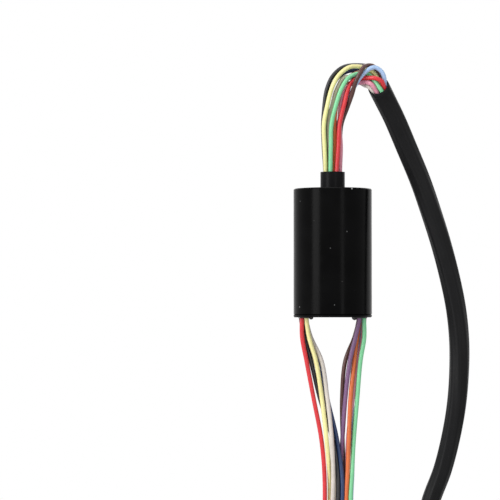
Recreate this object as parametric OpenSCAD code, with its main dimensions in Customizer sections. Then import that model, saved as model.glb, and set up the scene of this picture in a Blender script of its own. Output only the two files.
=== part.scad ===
// Miniature capsule slip ring: twelve circuits, free leads on both sides.
// Millimetres. +Z runs up the shaft and out of the stub, -Y is the front, and
// the origin is at the centre of the housing.

/* [Housing] */
// Outside diameter of the housing and of the end cap's flange
housing_d = 12.5; // [12:0.1:14]
// Overall length of the housing with the end cap fitted
housing_len = 20.5; // [20.5:0.5:26]
// Wall of the housing's barrel
housing_wall = 0.75; // [0.5:0.05:0.9]
// Thickness of the housing's top wall
top_wall = 1.0; // [0.6:0.1:1.4]
// Chamfer round the housing's top rim and the flange
rim_chamfer = 0.15; // [0.05:0.05:0.3]

/* [End cap] */
// Thickness of the end cap's flange
flange_t = 0.5; // [0.3:0.05:0.6]
// Floor of the end cap under the shaft
cap_floor = 0.7; // [0.6:0.05:1]
// Room for the retaining clip under the lower bearing
clip_space = 0.95; // [0.9:0.05:1.2]
// Wall between the lower bearing's seat and a lead exit
cap_wall = 0.6; // [0.3:0.05:0.65]

/* [Shaft] */
// Outside diameter of the stub
stub_d = 3.9; // [3.6:0.05:4]
// Length of the stub above the housing
stub_len = 2.7; // [1:0.1:4]
// Bore that carries the leads
shaft_bore = 3.2; // [3.2:0.05:3.4]
// Diameter of the shaft under the rings
shaft_d = 4.4; // [4.2:0.05:4.6]
// Length of journal below the lower bearing
journal_tail = 0.75; // [0.6:0.05:0.8]

/* [Bearings] */
// Bore of the upper bearing
upper_bore = 4; // [3.9:0.05:4]
// Outside diameter of the upper bearing
upper_od = 7; // [6.9:0.1:7.4]
// Bore of the lower bearing
lower_bore = 3; // [2.8:0.1:3.2]
// Outside diameter of the lower bearing
lower_od = 6; // [5.9:0.1:6.2]
// Width of a bearing
bearing_w = 2; // [1.8:0.1:2]
// Diameter of a ball
ball_d = 0.9; // [0.7:0.05:1]
// Balls in one bearing
ball_count = 8; // [6:1:9]
// Play between a ball and its groove
ball_play = 0.03; // [0.01:0.01:0.04]
// Radial thickness of a race
race_t = 0.5; // [0.4:0.05:0.55]

/* [Rings and brushes] */
// Outside diameter of a ring
ring_d = 6.6; // [6.4:0.1:6.8]
// Width of a ring
ring_w = 0.6; // [0.5:0.05:0.6]
// Radial thickness of a ring
ring_t = 0.55; // [0.4:0.05:0.6]
// Depth of the track that the brushes run in
track_depth = 0.1; // [0.05:0.01:0.15]
// Room between the stack of rings and each bearing
stack_end_gap = 0.465; // [0.2:0.005:0.6]
// How far a barrier stands above the rings
barrier_h = 0.4; // [0.2:0.05:0.5]
// Width and thickness of a brush's spring strip
strip = 0.25; // [0.2:0.01:0.28]
// Running gap between a brush and its track
brush_gap = 0.05; // [0.03:0.01:0.1]
// How far a brush reaches past the shaft's centre
brush_overrun = 0.8; // [0.3:0.1:1.2]
// Thickness of a brush block
block_t = 0.95; // [0.6:0.05:1]
// Width of a brush block
block_w = 2.4; // [2:0.1:2.6]

/* [Leads] */
// Diameter over a lead's insulation
lead_d = 0.7; // [0.6:0.01:0.7]
// Outside diameter of the sleeve round the rotor's leads
sleeve_d = 3.3; // [3:0.1:3.6]
// Radius of a folded hank at the middle of its bundle
hank_fold_r = 4; // [3.5:0.5:5]
// Thickness of a tied bundle of twelve leads
bundle_d = 3; // [2.8:0.1:3.4]
// Straight part of the stator's hank
stator_run = 63; // [40:1:80]
// Straight part of the rotor's hank
rotor_run = 40; // [25:1:60]
// Width of a hank's tie
tie_w = 2.5; // [1.5:0.1:4]
// Thickness of a hank's tie
tie_t = 0.8; // [0.5:0.1:1.2]

/* [Hidden] */
$fn = 48;

// Clearances
fit_gap = 0.02;
shaft_hole_gap = 0.2;
window_gap = 0.07;
lead_gap = 0.05;
wall_lead_gap = 0.17;
seal_lead_gap = 0.01;
clip_gap = 0.1;
window_floor_gap = 0.03;
track_play = 0.1;
lead_block_gap = 0.2;
exit_edge = 0.1;
lead_end_gap = 0.08;

// Heights along the shaft
top_z = housing_len / 2;
bottom_z = -housing_len / 2;
flange_z = bottom_z + flange_t;
upper_seat_z = top_z - top_wall;
upper_shoulder_z = upper_seat_z - bearing_w;
lower_seat_z = bottom_z + cap_floor + clip_space;
lower_shoulder_z = lower_seat_z + bearing_w;
stub_z = top_z + stub_len;
journal_z = lower_seat_z - journal_tail;

// Neck of the shaft in the housing's top hole
neck_wall = 0.18;
neck_rise = 0.1;
neck_r = shaft_bore / 2 + neck_wall;
neck_z = top_z + neck_rise;

// Retaining clip in its groove
clip_t = 0.2;
clip_r = 2.0;
clip_groove_depth = 0.2;
clip_mouth = 1.4;
clip_z = lower_seat_z - clip_gap - clip_t;

// Rings, counted from the top; the barriers share the room that the rings leave
ring_count = 12;
stack_room = upper_shoulder_z - lower_shoulder_z - 2 * stack_end_gap;
barrier_t = (stack_room - ring_count * ring_w) / (ring_count + 1);
pitch = ring_w + barrier_t;
core_top_z = upper_shoulder_z - stack_end_gap;
core_bottom_z = lower_shoulder_z + stack_end_gap;
core_floor_r = ring_d / 2 - ring_t;
track_r = ring_d / 2 - track_depth;
function ring_z(k) = core_top_z - barrier_t - ring_w / 2 - (k - 1) * pitch;

// Inside of the housing
inner_r = housing_d / 2 - housing_wall;
lead_r = lead_d / 2;
wall_lead_r = inner_r - lead_r - lead_gap;
block_back_x = sqrt(pow(inner_r - fit_gap, 2) - pow(block_w / 2, 2));
block_front_x = block_back_x - block_t;
block_foot_gap = 0.3;
spigot_half_x = lower_od / 2 + cap_wall;

// Brushes: a base on the block, a slanting arm, and a leg along the track
brush_inset = 0.2;
brush_base_y = block_w / 2 - brush_inset;
brush_base_x = block_front_x - strip / 2;
brush_leg_y = track_r + brush_gap + strip / 2;
brush_arm_x = 1.7;
brush_knee_x = brush_base_x - brush_arm_x;
tab_r = 0.3;

// Places of a side's six leads, as [sign of y, rank away from the block]
wall_lead_first = asin((block_w / 2 + lead_r + lead_block_gap) / wall_lead_r);
wall_lead_step = 2 * asin((lead_d + wall_lead_gap) / 2 / wall_lead_r);
function wall_lead(slot) =
    let (a = wall_lead_first + slot[1] * wall_lead_step)
    [wall_lead_r * cos(a), slot[0] * wall_lead_r * sin(a)];

// Where a side's leads leave the end cap, in two columns
exit_pitch = lead_d + lead_gap;
exit_out_x = inner_r - lead_r - exit_edge;
exit_in_x = exit_out_x - exit_pitch;
exit_row_y = lead_d + wall_lead_gap;
exit_lean = 0.1;
exit_spread = 0.4;
function exit_lead(slot) =
    slot[1] == 0 ? [slot[0] > 0 ? exit_out_x : exit_in_x, 0]
    : slot[1] == 1 ? [exit_out_x - exit_lean, slot[0] * exit_row_y]
    : [exit_in_x - exit_lean, slot[0] * (exit_row_y + exit_spread)];
exit_half_w = exit_row_y + exit_spread + lead_r + exit_edge;
seal_t = 0.75;
seal_top_z = flange_z + seal_t - flange_t;
seal_proud = 0.15;
bead_inset = 0.15;
bead_y = -0.6;
left_bead_r = 0.35;
right_bead_r = 0.45;

// One circuit: name, colour, ring, place in the bore, angle of its window,
// side, place on that side
NAME = 0;
COLOUR = 1;
RING = 2;
BORE_R = 3;
BORE_A = 4;
WINDOW_A = 5;
SIDE = 6;
SLOT = 7;
bore_out_r = shaft_bore / 2 - lead_r - lead_gap;
bore_mid_r = 0.42;
CIRCUITS = [
    ["black", [0.05, 0.05, 0.06], 1, bore_out_r, 165, 165, -1, [1, 0]],
    ["brown", [0.30, 0.17, 0.12], 2, bore_out_r, 28, 28, 1, [1, 2]],
    ["red", [0.75, 0.08, 0.10], 3, bore_out_r, -58, -58, -1, [-1, 1]],
    ["light_blue", [0.55, 0.72, 0.92], 4, bore_out_r, 62, 62, 1, [1, 1]],
    ["yellow", [0.93, 0.86, 0.42], 5, bore_out_r, -160, -160, -1, [-1, 2]],
    ["green", [0.25, 0.66, 0.38], 6, bore_out_r, -108, -108, 1, [-1, 1]],
    ["blue", [0.07, 0.15, 0.35], 7, bore_out_r, 131, 131, -1, [1, 2]],
    ["pink", [0.90, 0.60, 0.68], 8, bore_out_r, -12, -12, 1, [1, 0]],
    ["white", [0.85, 0.84, 0.82], 9, bore_out_r, 97, 97, -1, [-1, 0]],
    ["orange", [0.85, 0.30, 0.10], 10, bore_mid_r, -30, -58, 1, [-1, 0]],
    ["grey", [0.52, 0.52, 0.48], 11, bore_mid_r, -150, -160, -1, [1, 1]],
    ["violet", [0.42, 0.28, 0.45], 12, bore_mid_r, 90, 62, 1, [-1, 2]],
];

// Free routes of the rotor's leads, from above the stub into the sleeve
ROTOR_ROUTES = [
    // black
    [[-1.4, 0.2, 17], [-1.5, 0.2, 20.5], [-1.3, 0.1, 23.6], [-0.9, 0.1, 26.2], [0.1, 0.2, 28.4],
     [1.8, 0.3, 29.8], [4.2, 0.5, 30.1], [6.0, 0.6, 29.8], [7.0, 0.5, 28.6], [7.3, 0.4, 27.3],
     [7.8, 0.6, 26.5]],
    // brown
    [[1.2, 0.5, 17], [1.4, 0.3, 20.5], [2.4, -0.5, 23.4], [3.1, -1.3, 25.4], [3.6, -2.1, 27.2],
     [4.3, -2.4, 28.6], [4.8, -2.0, 29.5], [5.4, -1.1, 29.9], [6.4, -0.6, 29.9], [7.4, -0.4, 29.0],
     [7.8, -0.4, 28.1], [8.1, -0.2, 27.3], [8.3, 0.1, 26.6]],
    // red
    [[0.9, -1.1, 17], [1.1, -1.2, 20.5], [1.9, -1.2, 24.0], [2.4, -1.1, 26.0], [3.1, -0.9, 27.4],
     [4.2, -0.8, 27.9], [5.6, -1.4, 27.9], [6.8, -2.0, 27.8], [7.8, -1.9, 27.3], [8.1, -1.4, 26.6],
     [8.4, -1.1, 26.0]],
    // light blue
    [[0.6, 1.1, 17], [0.9, 1.1, 20.5], [1.8, 0.7, 23.2], [2.8, -0.3, 25.2], [3.6, -1.2, 26.8],
     [4.4, -1.7, 28.0], [5.5, -1.7, 29.1], [6.7, -1.4, 29.6], [7.8, -1.2, 28.9], [8.2, -1.1, 28.0],
     [8.3, -0.9, 27.1], [8.6, -0.5, 26.4]],
    // yellow
    [[-1.3, -0.7, 17], [-1.4, -0.9, 20.5], [-0.8, -1.1, 23.8], [-0.1, -1.1, 26.4], [1.0, -0.9, 28.4],
     [2.7, -0.6, 29.7], [4.3, -0.3, 29.8], [5.8, -0.1, 29.4], [6.9, -0.3, 28.4], [7.5, -0.2, 27.0],
     [7.8, -0.1, 26.2]],
    // green
    [[-0.3, -1.2, 17], [-0.2, -1.3, 20.5], [0.6, -1.4, 23.9], [1.4, -1.4, 26.2], [2.6, -1.2, 28.0],
     [4.3, -0.6, 28.7], [5.6, -0.7, 28.6], [6.5, -1.2, 27.6], [7.5, -1.7, 26.2], [7.9, -1.4, 25.6]],
    // blue
    [[-0.9, 1.0, 17], [-1.0, 1.0, 20.5], [-0.8, 0.9, 23.7], [-0.2, 0.8, 26.2], [0.9, 0.9, 28.2],
     [2.5, 1.1, 29.2], [4.2, 1.2, 29.3], [5.6, 1.3, 29.0], [6.4, 1.0, 28.1], [6.8, 0.3, 26.8],
     [7.1, 0.5, 26.2]],
    // pink
    [[1.3, -0.3, 17], [1.1, -0.4, 20.5], [1.3, -0.6, 23.8], [1.9, -0.5, 25.9], [2.9, -0.2, 27.0],
     [4.2, -0.5, 27.2], [5.5, -1.3, 27.2], [6.2, -1.8, 26.8], [6.8, -1.5, 26.0], [7.2, -1.1, 25.3]],
    // white
    [[-0.1, 1.2, 17], [-0.1, 1.3, 20.5], [0.3, 1.3, 23.5], [1.1, 1.2, 25.8], [2.4, 1.0, 27.1],
     [4.1, 0.8, 27.4], [5.2, -0.2, 26.8], [5.8, -0.9, 26.5], [6.4, -0.9, 25.9], [6.8, -0.5, 25.3]],
    // orange
    [[0.4, -0.4, 17], [0.3, -0.4, 20.5], [0.6, -0.1, 23.7], [1.5, 0.1, 26.3], [2.6, 0.4, 28.1],
     [4.2, 0.3, 28.9], [5.8, 0.0, 28.5], [6.7, -0.5, 27.5], [7.5, -1.0, 26.5], [7.9, -0.7, 25.9]],
    // grey
    [[-0.5, -0.3, 17], [-0.6, -0.3, 20.5], [0.0, -0.5, 23.8], [0.8, -0.5, 26.4], [1.9, -0.4, 28.1],
     [3.2, -0.3, 28.0], [4.4, 0.0, 27.9], [5.7, -0.1, 27.6], [6.9, -0.6, 26.4], [7.3, -0.3, 25.8]],
    // violet
    [[0.1, 0.5, 17], [0.1, 0.5, 20.5], [0.1, 0.5, 23.6], [0.6, 0.5, 26.0], [1.7, 1.0, 27.6],
     [3.0, 1.2, 28.2], [4.2, 1.0, 28.3], [5.3, 0.8, 27.7], [5.9, 0.4, 27.0], [6.4, -0.1, 26.3],
     [6.7, 0.1, 25.7]],
];

// Centre line of the sleeve, from its mouth down, and the slant of its mouth
SLEEVE_ROUTE = [
    [7.3, -0.7, 26.6], [8.3, 0.3, 24.8], [9.9, 1.1, 21.7], [12.0, 1.7, 16.8], [14.1, 2, 11.7],
    [15.9, 2, 6.5], [17.5, 2, 1.4], [18.8, 2, -3.7], [19.8, 2, -8.8], [20.3, 2, -13.9],
    [20.3, 2, -19.0], [19.9, 2, -24.1], [19.0, 2, -29.2], [17.6, 2, -34.6], [15.8, 2, -39.4],
    [14.8, 2, -43.6], [14.4, 2, -48], [14.4, 2, -50],
];
MOUTH_CUT = [-0.35, -0.7, 0.6];

// Free routes of the stator's leads, from under the end cap to the hank
STATOR_ROUTES = [
    // black
    [[-4.5, -0.1, -13.4], [-3.5, -0.2, -17.2], [-2.1, -0.2, -23], [0.0, -0.5, -30], [0.8, -0.9, -37],
     [0.1, -1.0, -44.5]],
    // brown
    [[3.5, 0.8, -13.4], [2.0, 0.0, -17.2], [1.5, 0.4, -23], [1.6, 0.8, -30], [1.8, 0.7, -37],
     [1.1, 0.6, -44.5]],
    // red
    [[-4.9, -0.8, -13.4], [-4.2, -0.7, -17.2], [-3.1, -0.6, -23], [-1.8, -0.6, -30], [-1.3, -0.3, -37],
     [-1.6, -0.4, -44.5]],
    // light blue
    [[4.5, 0.9, -13.4], [3.4, 0.8, -17.2], [3.1, 0.8, -23], [3.2, 0.4, -30], [3.0, -0.1, -37],
     [2.3, -0.2, -44.5]],
    // yellow
    [[-3.8, -1.0, -13.4], [-2.7, -0.9, -17.2], [-1.8, -0.9, -23], [-1.0, -1.2, -30], [-0.5, 0.2, -37],
     [-0.9, 0.2, -44.5]],
    // green
    [[5.0, -0.8, -13.4], [4.4, -0.6, -17.2], [3.9, -0.4, -23], [3.3, -0.5, -30], [2.9, -0.9, -37],
     [2.2, -1.0, -44.5]],
    // blue
    [[-3.5, 0.8, -13.4], [-2.0, 0.4, -17.2], [-0.9, 0.2, -23], [0.7, -0.4, -30], [1.5, -0.9, -37],
     [0.8, -1.0, -44.5]],
    // pink
    [[4.8, 0.1, -13.4], [4.1, 0.1, -17.2], [3.2, -0.1, -23], [2.4, -0.1, -30], [2.3, -0.1, -37],
     [1.6, -0.2, -44.5]],
    // white
    [[-3.5, -0.1, -13.4], [-1.8, -0.5, -17.2], [-0.9, -0.8, -23], [-0.2, -1.3, -30], [0.0, -1.1, -37],
     [-0.6, -0.9, -44.5]],
    // orange
    [[3.9, 0.0, -13.4], [3.4, -0.4, -17.2], [2.8, -0.7, -23], [2.5, -0.9, -30], [2.2, -0.9, -37],
     [1.5, -1.0, -44.5]],
    // grey
    [[-4.3, 0.7, -13.4], [-2.8, 0.6, -17.2], [-1.3, 0.9, -23], [0.0, 0.7, -30], [0.4, 0.6, -37],
     [-0.2, 0.5, -44.5]],
    // violet
    [[3.6, -1.0, -13.4], [2.7, -0.9, -17.2], [2.0, -0.6, -23], [1.5, 0.0, -30], [1.0, 0.1, -37],
     [0.5, -0.1, -44.5]],
];

// Hanks: [x, y] of the middle, and the height of the upper fold's centre
STATOR_HANK = [0, 0, -49];
ROTOR_HANK = [18.4, 3.5, -51];
hank_t = 2 * bundle_d;
tie_head = [2.4, 2.2, 3];

// ---- Shared shapes ----

function unit(v) = v / norm(v);
function direction(p, i) = unit(p[min(i + 1, len(p) - 1)] - p[max(i - 1, 0)]);
function across(n, t) = unit(n - (n * t) * t);
function normals(p, i = 0, n = undef) =
    i == len(p) ? []
    : let (
        t = direction(p, i),
        start = abs(t.z) < 0.7 ? [0, 0, 1] : [1, 0, 0],
        m = across(is_undef(n) ? start : n, t)
    )
    concat([m], normals(p, i + 1, m));

// A closed tube of radius r along the points p. The first end lies in a plane
// across the vector cut, or square across the tube if cut isn't given.
module tube(p, r, sides = 8, cut = undef) {
    n = normals(p);
    rings = [
        for (i = [0:len(p) - 1])
        let (t = direction(p, i), b = cross(t, n[i]))
        for (j = [0:sides - 1])
        let (
            a = 360 * (j + 0.5) / sides,
            q = p[i] + r * (cos(a) * n[i] + sin(a) * b),
            slide = i > 0 || is_undef(cut) ? 0 : ((p[0] - q) * cut) / (t * cut)
        )
        q + slide * t
    ];
    last = (len(p) - 1) * sides;
    sides_faces = [
        for (i = [0:len(p) - 2])
        for (j = [0:sides - 1])
        let (a = i * sides + j, b = i * sides + (j + 1) % sides)
        for (f = [[a, a + sides, b], [b, a + sides, b + sides]]) f
    ];
    start_face = [for (j = [0:sides - 1]) j];
    end_face = [for (j = [sides - 1:-1:0]) last + j];
    polyhedron(rings, concat([start_face], sides_faces, [end_face]), convexity = 10);
}

// A flat bar of width w from a to b, with round ends
module bar(a, b, w) {
    d = unit(b - a);
    s = [-d.y, d.x] * w / 2;
    polygon([a + s, b + s, b - s, a - s]);
    for (c = [a, b]) translate(c) circle(d = w, $fn = 24);
}

// A solid of revolution between two heights
module pipe(r_in, r_out, z0, z1) {
    translate([0, 0, z0])
        rotate_extrude()
            translate([r_in, 0]) square([r_out - r_in, z1 - z0]);
}

// ---- Housing, end cap and seals ----

module exit_profile(side) {
    intersection() {
        circle(r = inner_r);
        translate([side > 0 ? spigot_half_x : -inner_r, -exit_half_w])
            square([inner_r - spigot_half_x, 2 * exit_half_w]);
    }
}

module housing() {
    seat_r = upper_od / 2;
    hole_r = stub_d / 2 + shaft_hole_gap;
    r = housing_d / 2;
    color([0.06, 0.06, 0.065])
        rotate_extrude($fn = 96)
            polygon([
                [inner_r, flange_z], [r, flange_z], [r, top_z - rim_chamfer],
                [r - rim_chamfer, top_z], [hole_r, top_z], [hole_r, upper_seat_z],
                [seat_r, upper_seat_z], [seat_r, upper_shoulder_z], [inner_r, upper_shoulder_z],
            ]);
}

module end_cap() {
    r = housing_d / 2;
    seat_r = lower_od / 2;
    relief_r = seat_r - race_t;
    spigot_root_z = bottom_z + flange_t / 2;
    color([0.05, 0.05, 0.055])
        difference() {
            union() {
                rotate_extrude($fn = 96)
                    polygon([
                        [0, bottom_z], [r - rim_chamfer, bottom_z], [r, bottom_z + rim_chamfer],
                        [r, flange_z - rim_chamfer], [r - rim_chamfer, flange_z], [0, flange_z],
                    ]);
                intersection() {
                    pipe(0, inner_r, spigot_root_z, lower_shoulder_z);
                    translate([-spigot_half_x, -inner_r, spigot_root_z])
                        cube([2 * spigot_half_x, 2 * inner_r, lower_shoulder_z - spigot_root_z]);
                }
            }
            pipe(0, seat_r, lower_seat_z, lower_shoulder_z + 1);
            pipe(0, relief_r, bottom_z + cap_floor, lower_seat_z + 1);
            for (side = [-1, 1])
                translate([0, 0, bottom_z - 1])
                    linear_extrude(flange_t + 2) exit_profile(side);
        }
}

module exit_seal(side, bead_r) {
    bead_x = side * (spigot_half_x - bead_inset);
    slots = [for (c = CIRCUITS) if (c[SIDE] == side) c[SLOT]];
    color([0.03, 0.03, 0.03])
        difference() {
            union() {
                translate([0, 0, bottom_z - seal_proud])
                    linear_extrude(seal_top_z - bottom_z + seal_proud) exit_profile(side);
                intersection() {
                    translate([bead_x, bead_y, bottom_z]) sphere(r = bead_r, $fn = 24);
                    translate([bead_x - bead_r, bead_y - bead_r, bottom_z - bead_r])
                        cube([2 * bead_r, 2 * bead_r, bead_r]);
                }
            }
            for (s = slots)
                translate([side * exit_lead(s).x, exit_lead(s).y, bottom_z - 1])
                    cylinder(r = lead_r + seal_lead_gap, h = seal_t + 2, $fn = 24);
        }
}

module exit_seal_left() { exit_seal(-1, left_bead_r); }
module exit_seal_right() { exit_seal(1, right_bead_r); }

// ---- Bearings ----

function ball_track_r(bore, od) = (bore + od) / 4;
groove_r = ball_d / 2 + ball_play;

module race(z, r_in, r_out, track_r) {
    translate([0, 0, z])
        rotate_extrude($fn = 72)
            difference() {
                translate([r_in, 0]) square([r_out - r_in, bearing_w]);
                translate([track_r, bearing_w / 2]) circle(r = groove_r);
            }
}

module outer_race(bore, od, z) {
    color([0.72, 0.73, 0.75]) race(z, od / 2 - race_t, od / 2, ball_track_r(bore, od));
}

module inner_race(bore, od, z) {
    color([0.70, 0.71, 0.73]) race(z, bore / 2, bore / 2 + race_t, ball_track_r(bore, od));
}

module balls(bore, od, z) {
    color([0.82, 0.83, 0.85])
        for (i = [0:ball_count - 1])
            rotate(360 * i / ball_count)
                translate([ball_track_r(bore, od), 0, z + bearing_w / 2])
                    sphere(d = ball_d, $fn = 32);
}

module upper_bearing_outer() { outer_race(upper_bore, upper_od, upper_shoulder_z); }
module upper_bearing_inner() { inner_race(upper_bore, upper_od, upper_shoulder_z); }
module upper_bearing_balls() { balls(upper_bore, upper_od, upper_shoulder_z); }
module lower_bearing_outer() { outer_race(lower_bore, lower_od, lower_seat_z); }
module lower_bearing_inner() { inner_race(lower_bore, lower_od, lower_seat_z); }
module lower_bearing_balls() { balls(lower_bore, lower_od, lower_seat_z); }

// ---- Shaft, clip, core and rings ----

window_down = lead_r + window_gap + window_floor_gap;
window_up = 1.1;

// The openings through which the leads reach their rings
module lead_windows() {
    w = lead_d + 2 * window_gap;
    for (c = CIRCUITS)
        rotate(c[WINDOW_A])
            translate([bore_out_r, -w / 2, ring_z(c[RING]) - window_down])
                cube([core_floor_r - bore_out_r + 0.01, w, window_down + window_up]);
}

module rotor_shaft() {
    seat_r = upper_bore / 2;
    journal_r = lower_bore / 2;
    bore_end_z = ring_z(ring_count) - window_down;
    color([0.09, 0.09, 0.095])
        difference() {
            rotate_extrude($fn = 72)
                polygon([
                    [0, journal_z], [journal_r, journal_z], [journal_r, clip_z],
                    [journal_r - clip_groove_depth, clip_z],
                    [journal_r - clip_groove_depth, clip_z + clip_t],
                    [journal_r, clip_z + clip_t], [journal_r, lower_shoulder_z],
                    [shaft_d / 2, lower_shoulder_z], [shaft_d / 2, upper_shoulder_z],
                    [seat_r, upper_shoulder_z], [seat_r, upper_seat_z],
                    [neck_r, upper_seat_z], [neck_r, neck_z],
                    [stub_d / 2, neck_z], [stub_d / 2, stub_z], [0, stub_z],
                ]);
            pipe(0, shaft_bore / 2, bore_end_z, stub_z + 1);
            lead_windows();
        }
}

module retaining_clip() {
    r_in = lower_bore / 2 - clip_groove_depth;
    color([0.75, 0.76, 0.78])
        difference() {
            pipe(r_in, clip_r, clip_z, clip_z + clip_t);
            translate([0, -clip_mouth / 2, clip_z - 1]) cube([clip_r + 1, clip_mouth, clip_t + 2]);
        }
}

module ring_core() {
    barrier_r = ring_d / 2 + barrier_h;
    color([0.80, 0.76, 0.62])
        difference() {
            union() {
                pipe(shaft_d / 2, core_floor_r, core_bottom_z, core_top_z);
                for (i = [0:ring_count])
                    translate([0, 0, core_bottom_z + i * pitch])
                        pipe(shaft_d / 2, barrier_r, 0, barrier_t);
            }
            lead_windows();
        }
}

module ring(k) {
    r = ring_d / 2;
    track_w = strip + track_play;
    color([0.86, 0.68, 0.28])
        translate([0, 0, ring_z(k)])
            rotate_extrude($fn = 72)
                difference() {
                    translate([core_floor_r, -ring_w / 2]) square([ring_t, ring_w]);
                    translate([track_r, -track_w / 2]) square([ring_t, track_w]);
                }
}

// ---- Brush blocks and brushes ----

module brush_block(side) {
    z0 = lower_shoulder_z + block_foot_gap;
    color([0.10, 0.28, 0.20])
        translate([side > 0 ? block_front_x : -block_back_x, -block_w / 2, z0])
            cube([block_t, block_w, upper_shoulder_z - z0]);
}

// The foot of the perpendicular from a lead's place to the slanting arm
function arm_foot(p) =
    let (
        a = [brush_base_x, brush_base_y],
        d = unit([brush_knee_x, brush_leg_y] - a)
    )
    a + ((p - a) * d) * d;

// One spring strip, bent round the shaft, with a tab for its lead
module brush(slot) {
    place = wall_lead([1, slot[1]]);
    linear_extrude(strip, center = true) {
        bar([brush_base_x, -brush_base_y], [brush_base_x, brush_base_y], strip);
        for (s = [-1, 1]) {
            bar([brush_base_x, s * brush_base_y], [brush_knee_x, s * brush_leg_y], strip);
            bar([brush_knee_x, s * brush_leg_y], [-brush_overrun, s * brush_leg_y], strip);
        }
        scale([1, slot[0]]) {
            bar(arm_foot(place), place, strip);
            translate(place) circle(r = tab_r, $fn = 24);
        }
    }
}

module brushes(side) {
    color([0.88, 0.70, 0.30])
        for (c = CIRCUITS)
            if (c[SIDE] == side)
                translate([0, 0, ring_z(c[RING])])
                    scale([side, 1, 1]) brush(c[SLOT]);
}

module brush_block_left() { brush_block(-1); }
module brush_block_right() { brush_block(1); }
module brushes_left() { brushes(-1); }
module brushes_right() { brushes(1); }

// ---- Leads, sleeve and hanks ----

function polar(r, a, z) = [r * cos(a), r * sin(a), z];

// Points of a lead's bend from its ring into the bore, as [radius, rise], the
// rise at which it lies along the bore, and the one at which it has crossed over
LEAD_BEND = [[1.95, 0.15], [1.45, 0.6]];
lead_bend_rise = 1.3;
lead_cross_rise = 2.6;

// Inside the shaft: from the ring, through the window and up the bore
function rotor_inside(c) =
    let (z = ring_z(c[RING]), a = c[WINDOW_A])
    concat(
        [polar(core_floor_r - lead_end_gap, a, z)],
        [for (b = LEAD_BEND) polar(b[0], a, z + b[1])],
        [polar(bore_out_r, a, z + lead_bend_rise)],
        c[BORE_R] < bore_out_r ? [polar(c[BORE_R], c[BORE_A], z + lead_cross_rise)] : [],
        [polar(c[BORE_R], c[BORE_A], stub_z)]
    );

// Rises over the cap's spigot and over the seal, and length under the seal,
// at which a lead turns on its way out of the housing
lead_turn_rise = 0.2;
lead_entry_rise = 0.3;
lead_tail = 0.1;

// Inside the housing: from the brush's tab down the wall and out of the cap
function stator_inside(c) =
    let (
        side = c[SIDE],
        w = wall_lead(c[SLOT]),
        e = exit_lead(c[SLOT])
    )
    [
        [side * w.x, w.y, ring_z(c[RING]) - strip / 2],
        [side * w.x, w.y, lower_shoulder_z + lead_turn_rise],
        [side * e.x, e.y, seal_top_z + lead_entry_rise],
        [side * e.x, e.y, bottom_z - seal_proud - lead_tail],
    ];

module rotor_lead(i) {
    c = CIRCUITS[i];
    color(c[COLOUR]) tube(concat(rotor_inside(c), ROTOR_ROUTES[i]), lead_r);
}

module stator_lead(i) {
    c = CIRCUITS[i];
    color(c[COLOUR]) tube(concat(stator_inside(c), STATOR_ROUTES[i]), lead_r);
}

module lead_sleeve() {
    color([0.10, 0.10, 0.10]) tube(SLEEVE_ROUTE, sleeve_d / 2, cut = MOUTH_CUT);
}

// A folded bundle: a flat form with round ends, standing in the XZ plane
module hank(place, run) {
    r = hank_fold_r + bundle_d / 2;
    translate([place.x, place.y + hank_t / 2, place.z])
        rotate([90, 0, 0])
            linear_extrude(hank_t) {
                circle(r = r);
                translate([0, -run]) circle(r = r);
                translate([-r, -run]) square([2 * r, run]);
            }
}

module tie(place, run) {
    w = 2 * hank_fold_r + bundle_d;
    color([0.90, 0.90, 0.88])
        translate([place.x, place.y, place.z - run / 2]) {
            difference() {
                cube([w + 2 * tie_t, hank_t + 2 * tie_t, tie_w], center = true);
                cube([w, hank_t, tie_w + 1], center = true);
            }
            translate([0, -hank_t / 2 - tie_t - tie_head.y / 2, 0]) cube(tie_head, center = true);
        }
}

module rotor_hank() { color([0.55, 0.50, 0.45]) hank(ROTOR_HANK, rotor_run); }
module stator_hank() { color([0.55, 0.50, 0.45]) hank(STATOR_HANK, stator_run); }
module rotor_tie() { tie(ROTOR_HANK, rotor_run); }
module stator_tie() { tie(STATOR_HANK, stator_run); }

// ---- The part ----

housing();
end_cap();
exit_seal_left();
exit_seal_right();
upper_bearing_outer();
upper_bearing_inner();
upper_bearing_balls();
lower_bearing_outer();
lower_bearing_inner();
lower_bearing_balls();
rotor_shaft();
retaining_clip();
ring_core();
brush_block_left();
brush_block_right();
brushes_left();
brushes_right();
for (i = [0:ring_count - 1]) {
    ring(CIRCUITS[i][RING]);
    rotor_lead(i);
    stator_lead(i);
}
lead_sleeve();
rotor_hank();
rotor_tie();
stator_hank();
stator_tie();
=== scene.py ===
"""Dresses a miniature capsule slip ring: its moulded housing, its leads and its sleeve."""

import logging  # noqa: E402
import math  # noqa: E402
from dataclasses import dataclass, field  # noqa: E402
from enum import Enum  # noqa: E402
from typing import ClassVar, Sequence  # noqa: E402

import bmesh  # noqa: E402
import bpy  # noqa: E402
from mathutils import Matrix, Vector  # noqa: E402


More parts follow.
